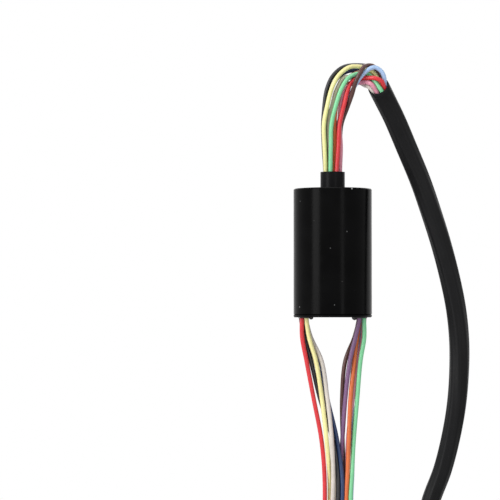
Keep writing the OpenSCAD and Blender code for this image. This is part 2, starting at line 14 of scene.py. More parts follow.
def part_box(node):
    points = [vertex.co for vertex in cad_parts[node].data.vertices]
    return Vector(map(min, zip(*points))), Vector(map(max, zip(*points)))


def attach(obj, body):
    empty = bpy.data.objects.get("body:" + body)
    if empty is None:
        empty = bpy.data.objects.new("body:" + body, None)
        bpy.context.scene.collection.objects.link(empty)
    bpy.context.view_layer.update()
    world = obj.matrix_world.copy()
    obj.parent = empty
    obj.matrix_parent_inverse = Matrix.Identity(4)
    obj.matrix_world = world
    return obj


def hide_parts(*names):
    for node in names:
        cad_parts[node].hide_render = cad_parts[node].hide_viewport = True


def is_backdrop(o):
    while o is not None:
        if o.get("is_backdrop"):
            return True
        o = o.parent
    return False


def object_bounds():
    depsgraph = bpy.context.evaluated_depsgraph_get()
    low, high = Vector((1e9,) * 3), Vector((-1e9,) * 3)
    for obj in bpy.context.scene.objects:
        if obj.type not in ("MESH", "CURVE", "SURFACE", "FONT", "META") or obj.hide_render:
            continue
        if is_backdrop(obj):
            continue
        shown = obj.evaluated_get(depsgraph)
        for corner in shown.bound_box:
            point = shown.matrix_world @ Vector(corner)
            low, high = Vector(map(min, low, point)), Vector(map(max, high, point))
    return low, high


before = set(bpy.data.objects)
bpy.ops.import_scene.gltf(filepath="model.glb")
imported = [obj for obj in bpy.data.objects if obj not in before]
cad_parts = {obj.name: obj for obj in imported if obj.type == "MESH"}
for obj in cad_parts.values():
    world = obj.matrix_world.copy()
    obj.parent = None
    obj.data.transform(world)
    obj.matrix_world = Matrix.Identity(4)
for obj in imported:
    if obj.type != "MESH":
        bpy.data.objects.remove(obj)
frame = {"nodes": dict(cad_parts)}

log = logging.getLogger("slip_ring")

MM = 0.001
TURN = 2 * math.pi
Colour = tuple[float, float, float]
Point = tuple[float, float, float]
Frames = list[tuple[Vector, Vector, Vector]]


def placed(name: str, data: bpy.types.ID) -> bpy.types.Object:
    """Returns a new object that holds the data and stands in the scene."""
    made = bpy.data.objects.new(name, data)
    bpy.context.scene.collection.objects.link(made)
    return made


# ---------------------------------------------------------------- node trees


class Expression:
    """An output socket that takes part in sums, so that node maths reads as a formula."""

    def __init__(self, graph: "Graph", socket: bpy.types.NodeSocket) -> None:
        """Wraps a socket of the graph."""
        self.graph = graph
        self.socket = socket

    def output(self, name: str) -> "Expression":
        """Returns another output of the same node."""
        return Expression(self.graph, self.socket.node.outputs[name])

    def _math(self, operation: str, *values: "Expression | float") -> "Expression":
        """Returns the output of a new Math node.

        Args:
            operation: The node's operation.
            values: Its inputs, in order.
        """
        return self.graph.node("ShaderNodeMath", {"operation": operation}, dict(enumerate(values)))

    def __add__(self, other: "Expression | float") -> "Expression":
        """Returns the sum."""
        return self._math("ADD", self, other)

    def __mul__(self, other: "Expression | float") -> "Expression":
        """Returns the product."""
        return self._math("MULTIPLY", self, other)

    def maximum(self, other: "Expression | float") -> "Expression":
        """Returns the larger of the two."""
        return self._math("MAXIMUM", self, other)

    def sine(self) -> "Expression":
        """Returns the sine."""
        return self._math("SINE", self)

    def span(self, low: float, high: float, to_low: float = 0.0, to_high: float = 1.0) -> "Expression":
        """Maps a range of values to another, and holds the ends.

        Args:
            low: The value that becomes to_low.
            high: The value that becomes to_high.
            to_low: The result at low.
            to_high: The result at high.

        Returns:
            The mapped value.
        """
        values = {"Value": self, "From Min": low, "From Max": high, "To Min": to_low, "To Max": to_high}
        return self.graph.node("ShaderNodeMapRange", {"clamp": True}, values)


class Graph:
    """A node tree under construction."""

    def __init__(self, tree: bpy.types.NodeTree) -> None:
        """Empties the tree and wraps it."""
        self.tree = tree
        tree.nodes.clear()

    def node(
        self,
        kind: str,
        settings: dict[str, object] | None = None,
        inputs: dict[int | str, object] | None = None,
        output: int | str = 0,
    ) -> Expression:
        """Adds a node: its settings first, then the values or links of its sockets.

        Args:
            kind: The node's type.
            settings: The node's own settings.
            inputs: Values or expressions, by the socket's number, identifier or name.
            output: The output wanted.

        Returns:
            The output, wrapped.
        """
        made = self.tree.nodes.new(kind)
        for key, value in (settings or {}).items():
            setattr(made, key, value)
        for key, value in (inputs or {}).items():
            self.feed(self.socket(made.inputs, key), value)
        return Expression(self, self.socket(made.outputs, output))

    def end(self, kind: str, name: str, value: Expression) -> None:
        """Ends the tree in an output node, of a kind, that takes the value at the named socket."""
        self.feed(self.tree.nodes.new(kind).inputs[name], value)

    @staticmethod
    def socket(sockets: Sequence[bpy.types.NodeSocket], key: int | str) -> bpy.types.NodeSocket:
        """Returns the socket with a number, an identifier or a name."""
        if isinstance(key, str):
            for socket in sockets:
                if socket.identifier == key:
                    return socket
        return sockets[key]

    def feed(self, socket: bpy.types.NodeSocket, value: object) -> None:
        """Gives a socket a link or a value.

        Args:
            socket: The input socket.
            value: An expression, a number, a material, a colour or a vector.
        """
        if isinstance(value, Expression):
            self.tree.links.new(value.socket, socket)
        elif isinstance(value, bpy.types.ID):
            socket.default_value = value
        elif isinstance(value, (int, float)):
            single = socket.type == "VALUE"
            socket.default_value = float(value) if single else (value,) * len(socket.default_value)
        else:
            wanted = len(socket.default_value)
            socket.default_value = (tuple(value) + (1.0,) * wanted)[:wanted]


class Shader(Graph):
    """One procedural material under construction, round a Principled BSDF."""

    def __init__(self, name: str) -> None:
        """Starts an empty material with a name."""
        self.material = bpy.data.materials.new(name)
        self.material.use_nodes = True
        super().__init__(self.material.node_tree)
        surface = self.node("ShaderNodeBsdfPrincipled")
        self.end("ShaderNodeOutputMaterial", "Surface", surface)
        self.surface = surface.socket.node
        self._places: dict[str, Expression] = {}

    def set(self, **values: object) -> None:
        """Sets the Principled BSDF's sockets, with underscores for the spaces in their names.

        Args:
            values: A value or an expression for each socket.
        """
        for key, value in values.items():
            self.feed(self.surface.inputs[key.replace("_", " ")], value)

    def place(self, output: str = "Object") -> Expression:
        """Returns the Object or the UV output of a Texture Coordinate node, made once."""
        if output not in self._places:
            self._places[output] = self.node("ShaderNodeTexCoord", output=output)
        return self._places[output]

    def noise(self, scale: float, detail: float = 3.0, roughness: float = 0.5) -> Expression:
        """Returns a noise texture in Object coordinates, from 0 to 1.

        Args:
            scale: Features for each metre.
            detail: Octaves.
            roughness: Weight of the finer octaves.
        """
        values = {"Vector": self.place(), "Scale": scale, "Detail": detail, "Roughness": roughness}
        return self.node("ShaderNodeTexNoise", {}, values)

    def mix(self, share: Expression | float, low: object, high: object) -> Expression:
        """Mixes two colours.

        Args:
            share: The share of the second colour.
            low: The first colour.
            high: The second colour.

        Returns:
            The mixed colour.
        """
        values = {"Factor_Float": share, "A_Color": low, "B_Color": high}
        return self.node("ShaderNodeMix", {"data_type": "RGBA", "clamp_factor": True}, values, "Result_Color")

    def tint(self, share: Expression, colour: Colour, factor: float, lift: float = 0.0) -> Expression:
        """Mixes a colour with a paler or darker one of the same hue.

        Args:
            share: The share of the second colour.
            colour: The first colour.
            factor: How many times as bright the second colour is.
            lift: What is added to it.

        Returns:
            The mixed colour.
        """
        return self.mix(share, colour, tuple(c * factor + lift for c in colour))

    def axis(self, vector: Expression, index: int) -> Expression:
        """Returns one component of a vector: 0, 1 or 2 for X, Y or Z."""
        return self.node("ShaderNodeSeparateXYZ", {}, {0: vector}, index)

    def bump(self, height: Expression, distance: float = 1.0) -> None:
        """Feeds a height to the surface's normal through a Bump node.

        Args:
            height: The height, in metres for each distance.
            distance: The height's scale, in metres.
        """
        values = {"Height": height, "Distance": distance, "Strength": 1.0}
        self.set(Normal=self.node("ShaderNodeBump", {}, values))


# ------------------------------------------------------------------- finishes


@dataclass(frozen=True)
class Finish:
    """A finish with one main colour.

    Attributes:
        name: The material's name.
        colour: Its main colour.
    """

    name: str
    colour: Colour

    def make(self) -> bpy.types.Material:
        """Returns the finish's material."""
        shader = Shader(self.name)
        self.paint(shader)
        return shader.material

    def paint(self, s: Shader) -> None:
        """Sets the surface of the material's shader."""
        raise NotImplementedError


@dataclass(frozen=True)
class MouldedPlastic(Finish):
    """A moulded or turned plastic with faint clouds and a fine grain.

    Attributes:
        roughness: Its mean roughness.
        specular: Its Specular IOR Level.
        grain: Height of the grain, in metres.
    """

    roughness: float = 0.42
    specular: float = 0.5
    grain: float = 0.000004

    def paint(self, s: Shader) -> None:
        """Sets the surface of the material's shader."""
        cloud = s.noise(260.0, 4.0)
        s.set(
            Base_Color=s.tint(cloud.span(0.35, 0.75), self.colour, 1.5, 0.001),
            Roughness=cloud.span(0.3, 0.7, self.roughness - 0.05, self.roughness + 0.06),
            IOR=1.46,
            Specular_IOR_Level=self.specular,
        )
        s.bump(s.noise(9000.0, 2.0, 0.6) * self.grain)


@dataclass(frozen=True)
class CastPlastic(Finish):
    """A glossy plastic with slow unevenness, such as potting compound or a nylon tie.

    Attributes:
        scale: Waves of the unevenness for each metre.
        factor: How many times as bright its other tone is.
        rough: Its least and its greatest roughness.
        ior: Its index of refraction.
        height: Height of the unevenness, in metres.
    """

    scale: float
    factor: float
    rough: tuple[float, float]
    ior: float
    height: float

    def paint(self, s: Shader) -> None:
        """Sets the surface of the material's shader."""
        slow = s.noise(self.scale, 2.0)
        s.set(
            Base_Color=s.tint(slow.span(0.3, 0.8), self.colour, self.factor),
            Roughness=slow.span(0.3, 0.7, *self.rough),
            IOR=self.ior,
        )
        s.bump(slow, self.height)


@dataclass(frozen=True)
class Metal(Finish):
    """A turned or drawn metal, brushed round the Z axis.

    Attributes:
        roughness: Its mean roughness.
        brushed: Height of the turning marks, in metres.
        marks: Phase of the turning marks for each metre, in radians.
    """

    roughness: float = 0.25
    brushed: float = 0.000001
    marks: float = 60000.0

    def paint(self, s: Shader) -> None:
        """Sets the surface of the material's shader."""
        cloud = s.noise(500.0)
        s.set(
            Base_Color=s.tint(cloud.span(0.3, 0.7), self.colour, 0.8),
            Roughness=cloud.span(0.3, 0.7, self.roughness - 0.06, self.roughness + 0.08),
            Metallic=1.0,
        )
        s.bump((s.axis(s.place(), 2) * self.marks).sine() * self.brushed)


@dataclass(frozen=True)
class Board(Finish):
    """Glass-filled board with a fine weave.

    Attributes:
        threads: Phase of the weave for each metre, in radians.
        height: Height of the weave, in metres.
    """

    threads: float = 9000.0
    height: float = 0.000004

    def paint(self, s: Shader) -> None:
        """Sets the surface of the material's shader."""
        across, up = ((s.axis(s.place(), i) * self.threads).sine() for i in (1, 2))
        weave = across * up
        s.set(
            Base_Color=s.tint(weave.span(-1.0, 1.0), self.colour, 1.35),
            Roughness=weave.span(-1.0, 1.0, 0.35, 0.5),
        )
        s.bump(weave * self.height)


@dataclass(frozen=True)
class Insulation(Finish):
    """A lead's extruded insulation: smooth, with faint drag marks along it.

    Attributes:
        roughness: Its mean roughness.
        drag: How often the drag marks change along the lead, and round it.
        heights: Heights of the drag marks and of the slow unevenness, in metres.
    """

    roughness: float = 0.28
    drag: tuple[float, float] = (60.0, 9.0)
    heights: tuple[float, float] = (0.000008, 0.00001)

    def paint(self, s: Shader) -> None:
        """Sets the surface of the material's shader."""
        along, around = (s.axis(s.place("UV"), i) * self.drag[i] for i in (0, 1))
        slow = s.noise(420.0, 2.0)
        drawn = s.node("ShaderNodeCombineXYZ", {}, {0: along, 1: around, 2: 0.0})
        marks = s.node("ShaderNodeTexNoise", {}, {"Vector": drawn, "Scale": 1.0, "Detail": 3.0})
        s.set(
            Base_Color=s.tint(slow.span(0.42, 0.85) * 0.7, self.colour, 0.78),
            Roughness=marks.span(0.3, 0.7, self.roughness - 0.07, self.roughness + 0.1),
            IOR=1.45,
        )
        s.bump(marks * self.heights[0] + slow * self.heights[1])


@dataclass(frozen=True)
class ShrinkSleeve(Finish):
    """Black heat-shrink sleeve: satin, with faint ridges where it lies on the leads.

    Attributes:
        roughness: Its mean roughness.
        specular: Its Specular IOR Level.
        ridges: The number of ridges round it.
        twist: Phase of the ridges for each metre along it, in radians.
        heights: Heights of the ridges, the grain and the slow unevenness, in metres.
    """

    roughness: float = 0.45
    specular: float = 0.12
    ridges: int = 7
    twist: float = 260.0
    heights: tuple[float, float, float] = (0.00003, 0.000005, 0.00004)

    def paint(self, s: Shader) -> None:
        """Sets the surface of the material's shader."""
        along, around = (s.axis(s.place("UV"), i) for i in (0, 1))
        ridge = (around * (TURN * self.ridges) + along * self.twist).sine()
        slow = s.noise(240.0)
        fine = s.noise(5200.0, 2.0)
        s.set(
            Base_Color=s.tint(slow.span(0.35, 0.75), self.colour, 1.3),
            Roughness=(slow + fine * 0.5).span(0.4, 1.1, self.roughness - 0.08, self.roughness + 0.12),
            IOR=1.45,
            Specular_IOR_Level=self.specular,
        )
        s.bump(ridge * self.heights[0] + fine * self.heights[1] + slow * self.heights[2])


class LeadColour(Enum):
    """The leads' colours, with each one's written colour."""

    BLACK = ("black", (0.018, 0.018, 0.022))
    BROWN = ("brown", (0.10, 0.040, 0.034))
    RED = ("red", (0.72, 0.035, 0.045))
    LIGHT_BLUE = ("light_blue", (0.42, 0.60, 0.90))
    YELLOW = ("yellow", (0.95, 0.88, 0.40))
    GREEN = ("green", (0.24, 0.70, 0.36))
    BLUE = ("blue", (0.018, 0.045, 0.135))
    PINK = ("pink", (0.76, 0.30, 0.40))
    WHITE = ("white", (0.72, 0.66, 0.60))
    ORANGE = ("orange", (0.76, 0.17, 0.045))
    GREY = ("grey", (0.56, 0.52, 0.41))
    VIOLET = ("violet", (0.22, 0.11, 0.24))

    @property
    def label(self) -> str:
        """The colour's name in the part's nodes and slots."""
        return self.value[0]

    @property
    def written(self) -> Colour:
        """The colour as it is written in the material."""
        return self.value[1]


# ------------------------------------------------------------------ shared mesh


def smooth_path(points: Sequence[Vector], step: float) -> list[Vector]:
    """Runs one smooth curve through the points and spaces points evenly along it.

    Args:
        points: The points to pass through, in metres.
        step: The distance between the new points, in metres.

    Returns:
        The points of the curve.
    """
    p = [points[0] * 2 - points[1], *points, points[-1] * 2 - points[-2]]
    dense: list[Vector] = []
    for i in range(1, len(p) - 2):
        p0, p1, p2, p3 = p[i - 1 : i + 3]
        k0, k1, k2 = (max((b - a).length, 1e-6) ** 0.5 for a, b in ((p0, p1), (p1, p2), (p2, p3)))
        m1 = (p1 - p0) / k0 - (p2 - p0) / (k0 + k1) + (p2 - p1) / k1
        m2 = (p2 - p1) / k1 - (p3 - p1) / (k1 + k2) + (p3 - p2) / k2
        m1, m2 = m1 * k1, m2 * k1
        n = max(4, int((p2 - p1).length / step * 2))
        for j in range(n):
            t = j / n
            a = 2 * t**3 - 3 * t**2 + 1
            b = t**3 - 2 * t**2 + t
            c = -2 * t**3 + 3 * t**2
            d = t**3 - t**2
            dense.append(p1 * a + m1 * b + p2 * c + m2 * d)
    dense.append(points[-1].copy())
    return respace(dense, step)


def respace(line: Sequence[Vector], step: float) -> list[Vector]:
    """Spaces points evenly along a line of points.

    Args:
        line: The line.
        step: The distance between the new points, in metres.

    Returns:
        The new points, with the line's own ends.
    """
    lengths = [0.0]
    for a, b in zip(line, line[1:]):
        lengths.append(lengths[-1] + (b - a).length)
    count = max(2, round(lengths[-1] / step))
    out, i = [], 0
    for k in range(count + 1):
        at = lengths[-1] * k / count
        while i < len(line) - 2 and lengths[i + 1] < at:
            i += 1
        span = max(lengths[i + 1] - lengths[i], 1e-12)
        out.append(line[i].lerp(line[i + 1], min(1.0, (at - lengths[i]) / span)))
    return out


def path_length(line: Sequence[Vector]) -> float:
    """Returns the length of a line of points."""
    return sum((b - a).length for a, b in zip(line, line[1:]))


def carried_frames(line: Sequence[Vector], start: Vector) -> Frames:
    """Carries a pair of axes along a line without twisting them.

    Args:
        line: The line's points.
        start: The direction that the first axis starts near.

    Returns:
        For each point the tangent and the two axes across it.
    """
    out = []
    side = start
    for i, _ in enumerate(line):
        tangent = (line[min(i + 1, len(line) - 1)] - line[max(i - 1, 0)]).normalized()
        side = (side - tangent * side.dot(tangent)).normalized()
        out.append((tangent, side, tangent.cross(side)))
    return out


class MeshBuilder:
    """Collects points and faces with UVs, and makes them one mesh object."""

    def __init__(self, name: str) -> None:
        """Starts an empty mesh for an object with a name."""
        self.name = name
        self.points: list[Vector] = []
        self.faces: list[tuple[int, ...]] = []
        self.uvs: list[tuple[tuple[float, float], ...]] = []
        self.slots: list[int] = []

    def ring_tube(
        self,
        rings: Sequence[Sequence[Vector]],
        along: Sequence[float],
        slots: Sequence[int] | None = None,
        close_ends: bool = True,
    ) -> None:
        """Adds a tube through rings of points.

        Args:
            rings: The rings, each with the same number of points.
            along: Each ring's distance along the tube, for the UVs.
            slots: The material slot of the band after each ring.
            close_ends: Whether the ends are closed.
        """
        base, sides = len(self.points), len(rings[0])
        for ring in rings:
            self.points.extend(ring)
        for i in range(len(rings) - 1):
            for j in range(sides):
                k = (j + 1) % sides
                a, b = base + i * sides, base + (i + 1) * sides
                self.faces.append((a + j, a + k, b + k, b + j))
                u0, u1 = along[i], along[i + 1]
                v0, v1 = j / sides, (j + 1) / sides
                self.uvs.append(((u0, v0), (u0, v1), (u1, v1), (u1, v0)))
                self.slots.append(slots[i] if slots else 0)
        if close_ends:
            for i, turn in ((0, -1), (len(rings) - 1, 1)):
                face = tuple(base + i * sides + j for j in range(sides))[::turn]
                self.faces.append(face)
                self.uvs.append(tuple((along[i], 0.5) for _ in face))
                self.slots.append(slots[min(i, len(slots) - 1)] if slots else 0)

    def build(self, materials: Sequence[bpy.types.Material]) -> bpy.types.Object:
        """Returns the object, at the origin, with its materials in slot order."""
        mesh = bpy.data.meshes.new(self.name)
        mesh.from_pydata([tuple(p) for p in self.points], [], self.faces)
        layer = mesh.uv_layers.new(name="UVMap")
        for polygon, uvs, slot in zip(mesh.polygons, self.uvs, self.slots):
            polygon.material_index = slot
            polygon.use_smooth = True
            for loop, uv in zip(polygon.loop_indices, uvs):
                layer.data[loop].uv = uv
        for material in materials:
            mesh.materials.append(material)
        mesh.validate()
        return placed(self.name, mesh)


def round_tube(
    name: str,
    line: Sequence[Vector],
    radii: Sequence[float],
    materials: Sequence[bpy.types.Material],
    slots: Sequence[int] | None = None,
    sides: int = 12,
) -> bpy.types.Object:
    """Makes a closed round tube along a line.

    Args:
        name: The object's name.
        line: The tube's centreline.
        radii: The radius at each point.
        materials: The tube's materials.
        slots: The material slot of the band after each point.
        sides: The number of sides.

    Returns:
        The tube.
    """
    builder = MeshBuilder(name)
    rings, along, run = [], [], 0.0
    for i, (tangent, side, up) in enumerate(carried_frames(line, Vector((0.3, -1.0, 0.1)))):
        if i:
            run += (line[i] - line[i - 1]).length
        along.append(run)
        ring = []
        for j in range(sides):
            a = TURN * j / sides
            ring.append(line[i] + (side * math.cos(a) + up * math.sin(a)) * radii[i])
        rings.append(ring)
    builder.ring_tube(rings, along, slots)
    return builder.build(materials)


# --------------------------------------------------------------------- leads


# The points that each lead passes in the open, in millimetres, as in the part's source.
ROTOR_ROUTES = {
    LeadColour.BLACK: [
        (-1.4, 0.2, 17), (-1.5, 0.2, 20.5), (-1.3, 0.1, 23.6), (-0.9, 0.1, 26.2), (0.1, 0.2, 28.4),
        (1.8, 0.3, 29.8), (4.2, 0.5, 30.1), (6.0, 0.6, 29.8), (7.0, 0.5, 28.6), (7.3, 0.4, 27.3),
        (7.8, 0.6, 26.5),
    ],
    LeadColour.BROWN: [
        (1.2, 0.5, 17), (1.4, 0.3, 20.5), (2.4, -0.5, 23.4), (3.1, -1.3, 25.4), (3.6, -2.1, 27.2),
        (4.3, -2.4, 28.6), (4.8, -2.0, 29.5), (5.4, -1.1, 29.9), (6.4, -0.6, 29.9), (7.4, -0.4, 29.0),
        (7.8, -0.4, 28.1), (8.1, -0.2, 27.3), (8.3, 0.1, 26.6),
    ],
    LeadColour.RED: [
        (0.9, -1.1, 17), (1.1, -1.2, 20.5), (1.9, -1.2, 24.0), (2.4, -1.1, 26.0), (3.1, -0.9, 27.4),
        (4.2, -0.8, 27.9), (5.6, -1.4, 27.9), (6.8, -2.0, 27.8), (7.8, -1.9, 27.3), (8.1, -1.4, 26.6),
        (8.4, -1.1, 26.0),
    ],
    LeadColour.LIGHT_BLUE: [
        (0.6, 1.1, 17), (0.9, 1.1, 20.5), (1.8, 0.7, 23.2), (2.8, -0.3, 25.2), (3.6, -1.2, 26.8),
        (4.4, -1.7, 28.0), (5.5, -1.7, 29.1), (6.7, -1.4, 29.6), (7.8, -1.2, 28.9), (8.2, -1.1, 28.0),
        (8.3, -0.9, 27.1), (8.6, -0.5, 26.4),
    ],
    LeadColour.YELLOW: [
        (-1.3, -0.7, 17), (-1.4, -0.9, 20.5), (-0.8, -1.1, 23.8), (-0.1, -1.1, 26.4), (1.0, -0.9, 28.4),
        (2.7, -0.6, 29.7), (4.3, -0.3, 29.8), (5.8, -0.1, 29.4), (6.9, -0.3, 28.4), (7.5, -0.2, 27.0),
        (7.8, -0.1, 26.2),
    ],
    LeadColour.GREEN: [
        (-0.3, -1.2, 17), (-0.2, -1.3, 20.5), (0.6, -1.4, 23.9), (1.4, -1.4, 26.2), (2.6, -1.2, 28.0),
        (4.3, -0.6, 28.7), (5.6, -0.7, 28.6), (6.5, -1.2, 27.6), (7.5, -1.7, 26.2), (7.9, -1.4, 25.6),
    ],
    LeadColour.BLUE: [
        (-0.9, 1.0, 17), (-1.0, 1.0, 20.5), (-0.8, 0.9, 23.7), (-0.2, 0.8, 26.2), (0.9, 0.9, 28.2),
        (2.5, 1.1, 29.2), (4.2, 1.2, 29.3), (5.6, 1.3, 29.0), (6.4, 1.0, 28.1), (6.8, 0.3, 26.8),
        (7.1, 0.5, 26.2),
    ],
    LeadColour.PINK: [
        (1.3, -0.3, 17), (1.1, -0.4, 20.5), (1.3, -0.6, 23.8), (1.9, -0.5, 25.9), (2.9, -0.2, 27.0),
        (4.2, -0.5, 27.2), (5.5, -1.3, 27.2), (6.2, -1.8, 26.8), (6.8, -1.5, 26.0), (7.2, -1.1, 25.3),
    ],
    LeadColour.WHITE: [
        (-0.1, 1.2, 17), (-0.1, 1.3, 20.5), (0.3, 1.3, 23.5), (1.1, 1.2, 25.8), (2.4, 1.0, 27.1),
        (4.1, 0.8, 27.4), (5.2, -0.2, 26.8), (5.8, -0.9, 26.5), (6.4, -0.9, 25.9), (6.8, -0.5, 25.3),
    ],
    LeadColour.ORANGE: [
        (0.4, -0.4, 17), (0.3, -0.4, 20.5), (0.6, -0.1, 23.7), (1.5, 0.1, 26.3), (2.6, 0.4, 28.1),
        (4.2, 0.3, 28.9), (5.8, 0.0, 28.5), (6.7, -0.5, 27.5), (7.5, -1.0, 26.5), (7.9, -0.7, 25.9),
    ],
    LeadColour.GREY: [
        (-0.5, -0.3, 17), (-0.6, -0.3, 20.5), (0.0, -0.5, 23.8), (0.8, -0.5, 26.4), (1.9, -0.4, 28.1),
        (3.2, -0.3, 28.0), (4.4, 0.0, 27.9), (5.7, -0.1, 27.6), (6.9, -0.6, 26.4), (7.3, -0.3, 25.8),
    ],
    LeadColour.VIOLET: [
        (0.1, 0.5, 17), (0.1, 0.5, 20.5), (0.1, 0.5, 23.6), (0.6, 0.5, 26.0), (1.7, 1.0, 27.6),
        (3.0, 1.2, 28.2), (4.2, 1.0, 28.3), (5.3, 0.8, 27.7), (5.9, 0.4, 27.0), (6.4, -0.1, 26.3),
        (6.7, 0.1, 25.7),
    ],
}

STATOR_ROUTES = {
    LeadColour.BLACK: [
        (-4.5, -0.1, -13.4), (-3.5, -0.2, -17.2), (-2.1, -0.2, -23), (0.0, -0.5, -30), (0.8, -0.9, -37),
        (0.1, -1.0, -44.5),
    ],
    LeadColour.BROWN: [
        (3.5, 0.8, -13.4), (2.0, 0.0, -17.2), (1.5, 0.4, -23), (1.6, 0.8, -30), (1.8, 0.7, -37),
        (1.1, 0.6, -44.5),
    ],
    LeadColour.RED: [
        (-4.9, -0.8, -13.4), (-4.2, -0.7, -17.2), (-3.1, -0.6, -23), (-1.8, -0.6, -30), (-1.3, -0.3, -37),
        (-1.6, -0.4, -44.5),
    ],
    LeadColour.LIGHT_BLUE: [
        (4.5, 0.9, -13.4), (3.4, 0.8, -17.2), (3.1, 0.8, -23), (3.2, 0.4, -30), (3.0, -0.1, -37),
        (2.3, -0.2, -44.5),
    ],
    LeadColour.YELLOW: [
        (-3.8, -1.0, -13.4), (-2.7, -0.9, -17.2), (-1.8, -0.9, -23), (-1.0, -1.2, -30), (-0.5, 0.2, -37),
        (-0.9, 0.2, -44.5),
    ],
    LeadColour.GREEN: [
        (5.0, -0.8, -13.4), (4.4, -0.6, -17.2), (3.9, -0.4, -23), (3.3, -0.5, -30), (2.9, -0.9, -37),
        (2.2, -1.0, -44.5),
    ],
    LeadColour.BLUE: [
        (-3.5, 0.8, -13.4), (-2.0, 0.4, -17.2), (-0.9, 0.2, -23), (0.7, -0.4, -30), (1.5, -0.9, -37),
        (0.8, -1.0, -44.5),
    ],
    LeadColour.PINK: [
        (4.8, 0.1, -13.4), (4.1, 0.1, -17.2), (3.2, -0.1, -23), (2.4, -0.1, -30), (2.3, -0.1, -37),
        (1.6, -0.2, -44.5),
    ],
    LeadColour.WHITE: [
        (-3.5, -0.1, -13.4), (-1.8, -0.5, -17.2), (-0.9, -0.8, -23), (-0.2, -1.3, -30), (0.0, -1.1, -37),
        (-0.6, -0.9, -44.5),
    ],
    LeadColour.ORANGE: [
        (3.9, 0.0, -13.4), (3.4, -0.4, -17.2), (2.8, -0.7, -23), (2.5, -0.9, -30), (2.2, -0.9, -37),
        (1.5, -1.0, -44.5),
    ],
    LeadColour.GREY: [
        (-4.3, 0.7, -13.4), (-2.8, 0.6, -17.2), (-1.3, 0.9, -23), (0.0, 0.7, -30), (0.4, 0.6, -37),
        (-0.2, 0.5, -44.5),
    ],
    LeadColour.VIOLET: [
        (3.6, -1.0, -13.4), (2.7, -0.9, -17.2), (2.0, -0.6, -23), (1.5, 0.0, -30), (1.0, 0.1, -37),
        (0.5, -0.1, -44.5),
    ],
}

SLEEVE_ROUTE = [
    (7.3, -0.7, 26.6), (8.3, 0.3, 24.8), (9.9, 1.1, 21.7), (12.0, 1.7, 16.8), (14.1, 2, 11.7),
    (15.9, 2, 6.5), (17.5, 2, 1.4), (18.8, 2, -3.7), (19.8, 2, -8.8), (20.3, 2, -13.9),
    (20.3, 2, -19.0), (19.9, 2, -24.1), (19.0, 2, -29.2), (17.6, 2, -34.6), (15.8, 2, -39.4),
    (14.8, 2, -43.6), (14.4, 2, -48), (14.4, 2, -50),
]


@dataclass(frozen=True)
class Circuit:
    """Where one circuit's two leads start and how they reach the open.

    Attributes:
        colour: The leads' colour.
        ring: The circuit's ring, counted from the top.
        bore_r: The rotor lead's distance from the axis in the bore, in millimetres.
        bore_a: Its angle there, in degrees.
        window_a: The angle of the window through which it reaches its ring.
        side: The side of the housing that the stator's lead leaves, -1 or 1.
        slot: The stator lead's place on that side: the sign of y, and the rank.
    """

    colour: LeadColour
    ring: int
    bore_r: float
    bore_a: float
    window_a: float
    side: int
    slot: tuple[int, int]


CIRCUITS = [
    Circuit(LeadColour.BLACK, 1, 1.2, 165, 165, -1, (1, 0)),
    Circuit(LeadColour.BROWN, 2, 1.2, 28, 28, 1, (1, 2)),
    Circuit(LeadColour.RED, 3, 1.2, -58, -58, -1, (-1, 1)),
    Circuit(LeadColour.LIGHT_BLUE, 4, 1.2, 62, 62, 1, (1, 1)),
    Circuit(LeadColour.YELLOW, 5, 1.2, -160, -160, -1, (-1, 2)),
    Circuit(LeadColour.GREEN, 6, 1.2, -108, -108, 1, (-1, 1)),
    Circuit(LeadColour.BLUE, 7, 1.2, 131, 131, -1, (1, 2)),
    Circuit(LeadColour.PINK, 8, 1.2, -12, -12, 1, (1, 0)),
    Circuit(LeadColour.WHITE, 9, 1.2, 97, 97, -1, (-1, 0)),
    Circuit(LeadColour.ORANGE, 10, 0.42, -30, -58, 1, (-1, 0)),
    Circuit(LeadColour.GREY, 11, 0.42, -150, -160, -1, (1, 1)),
    Circuit(LeadColour.VIOLET, 12, 0.42, 90, 62, 1, (-1, 2)),
]


def millimetres(points: Sequence[Point]) -> list[Vector]:
    """Returns points that are given in millimetres as vectors in metres."""
    return [Vector(p) * MM for p in points]


def polar(radius: float, degrees: float, z: float = 0.0) -> Point:
    """Returns the point at a radius and an angle round the Z axis, at a height."""
    a = math.radians(degrees)
    return (radius * math.cos(a), radius * math.sin(a), z)


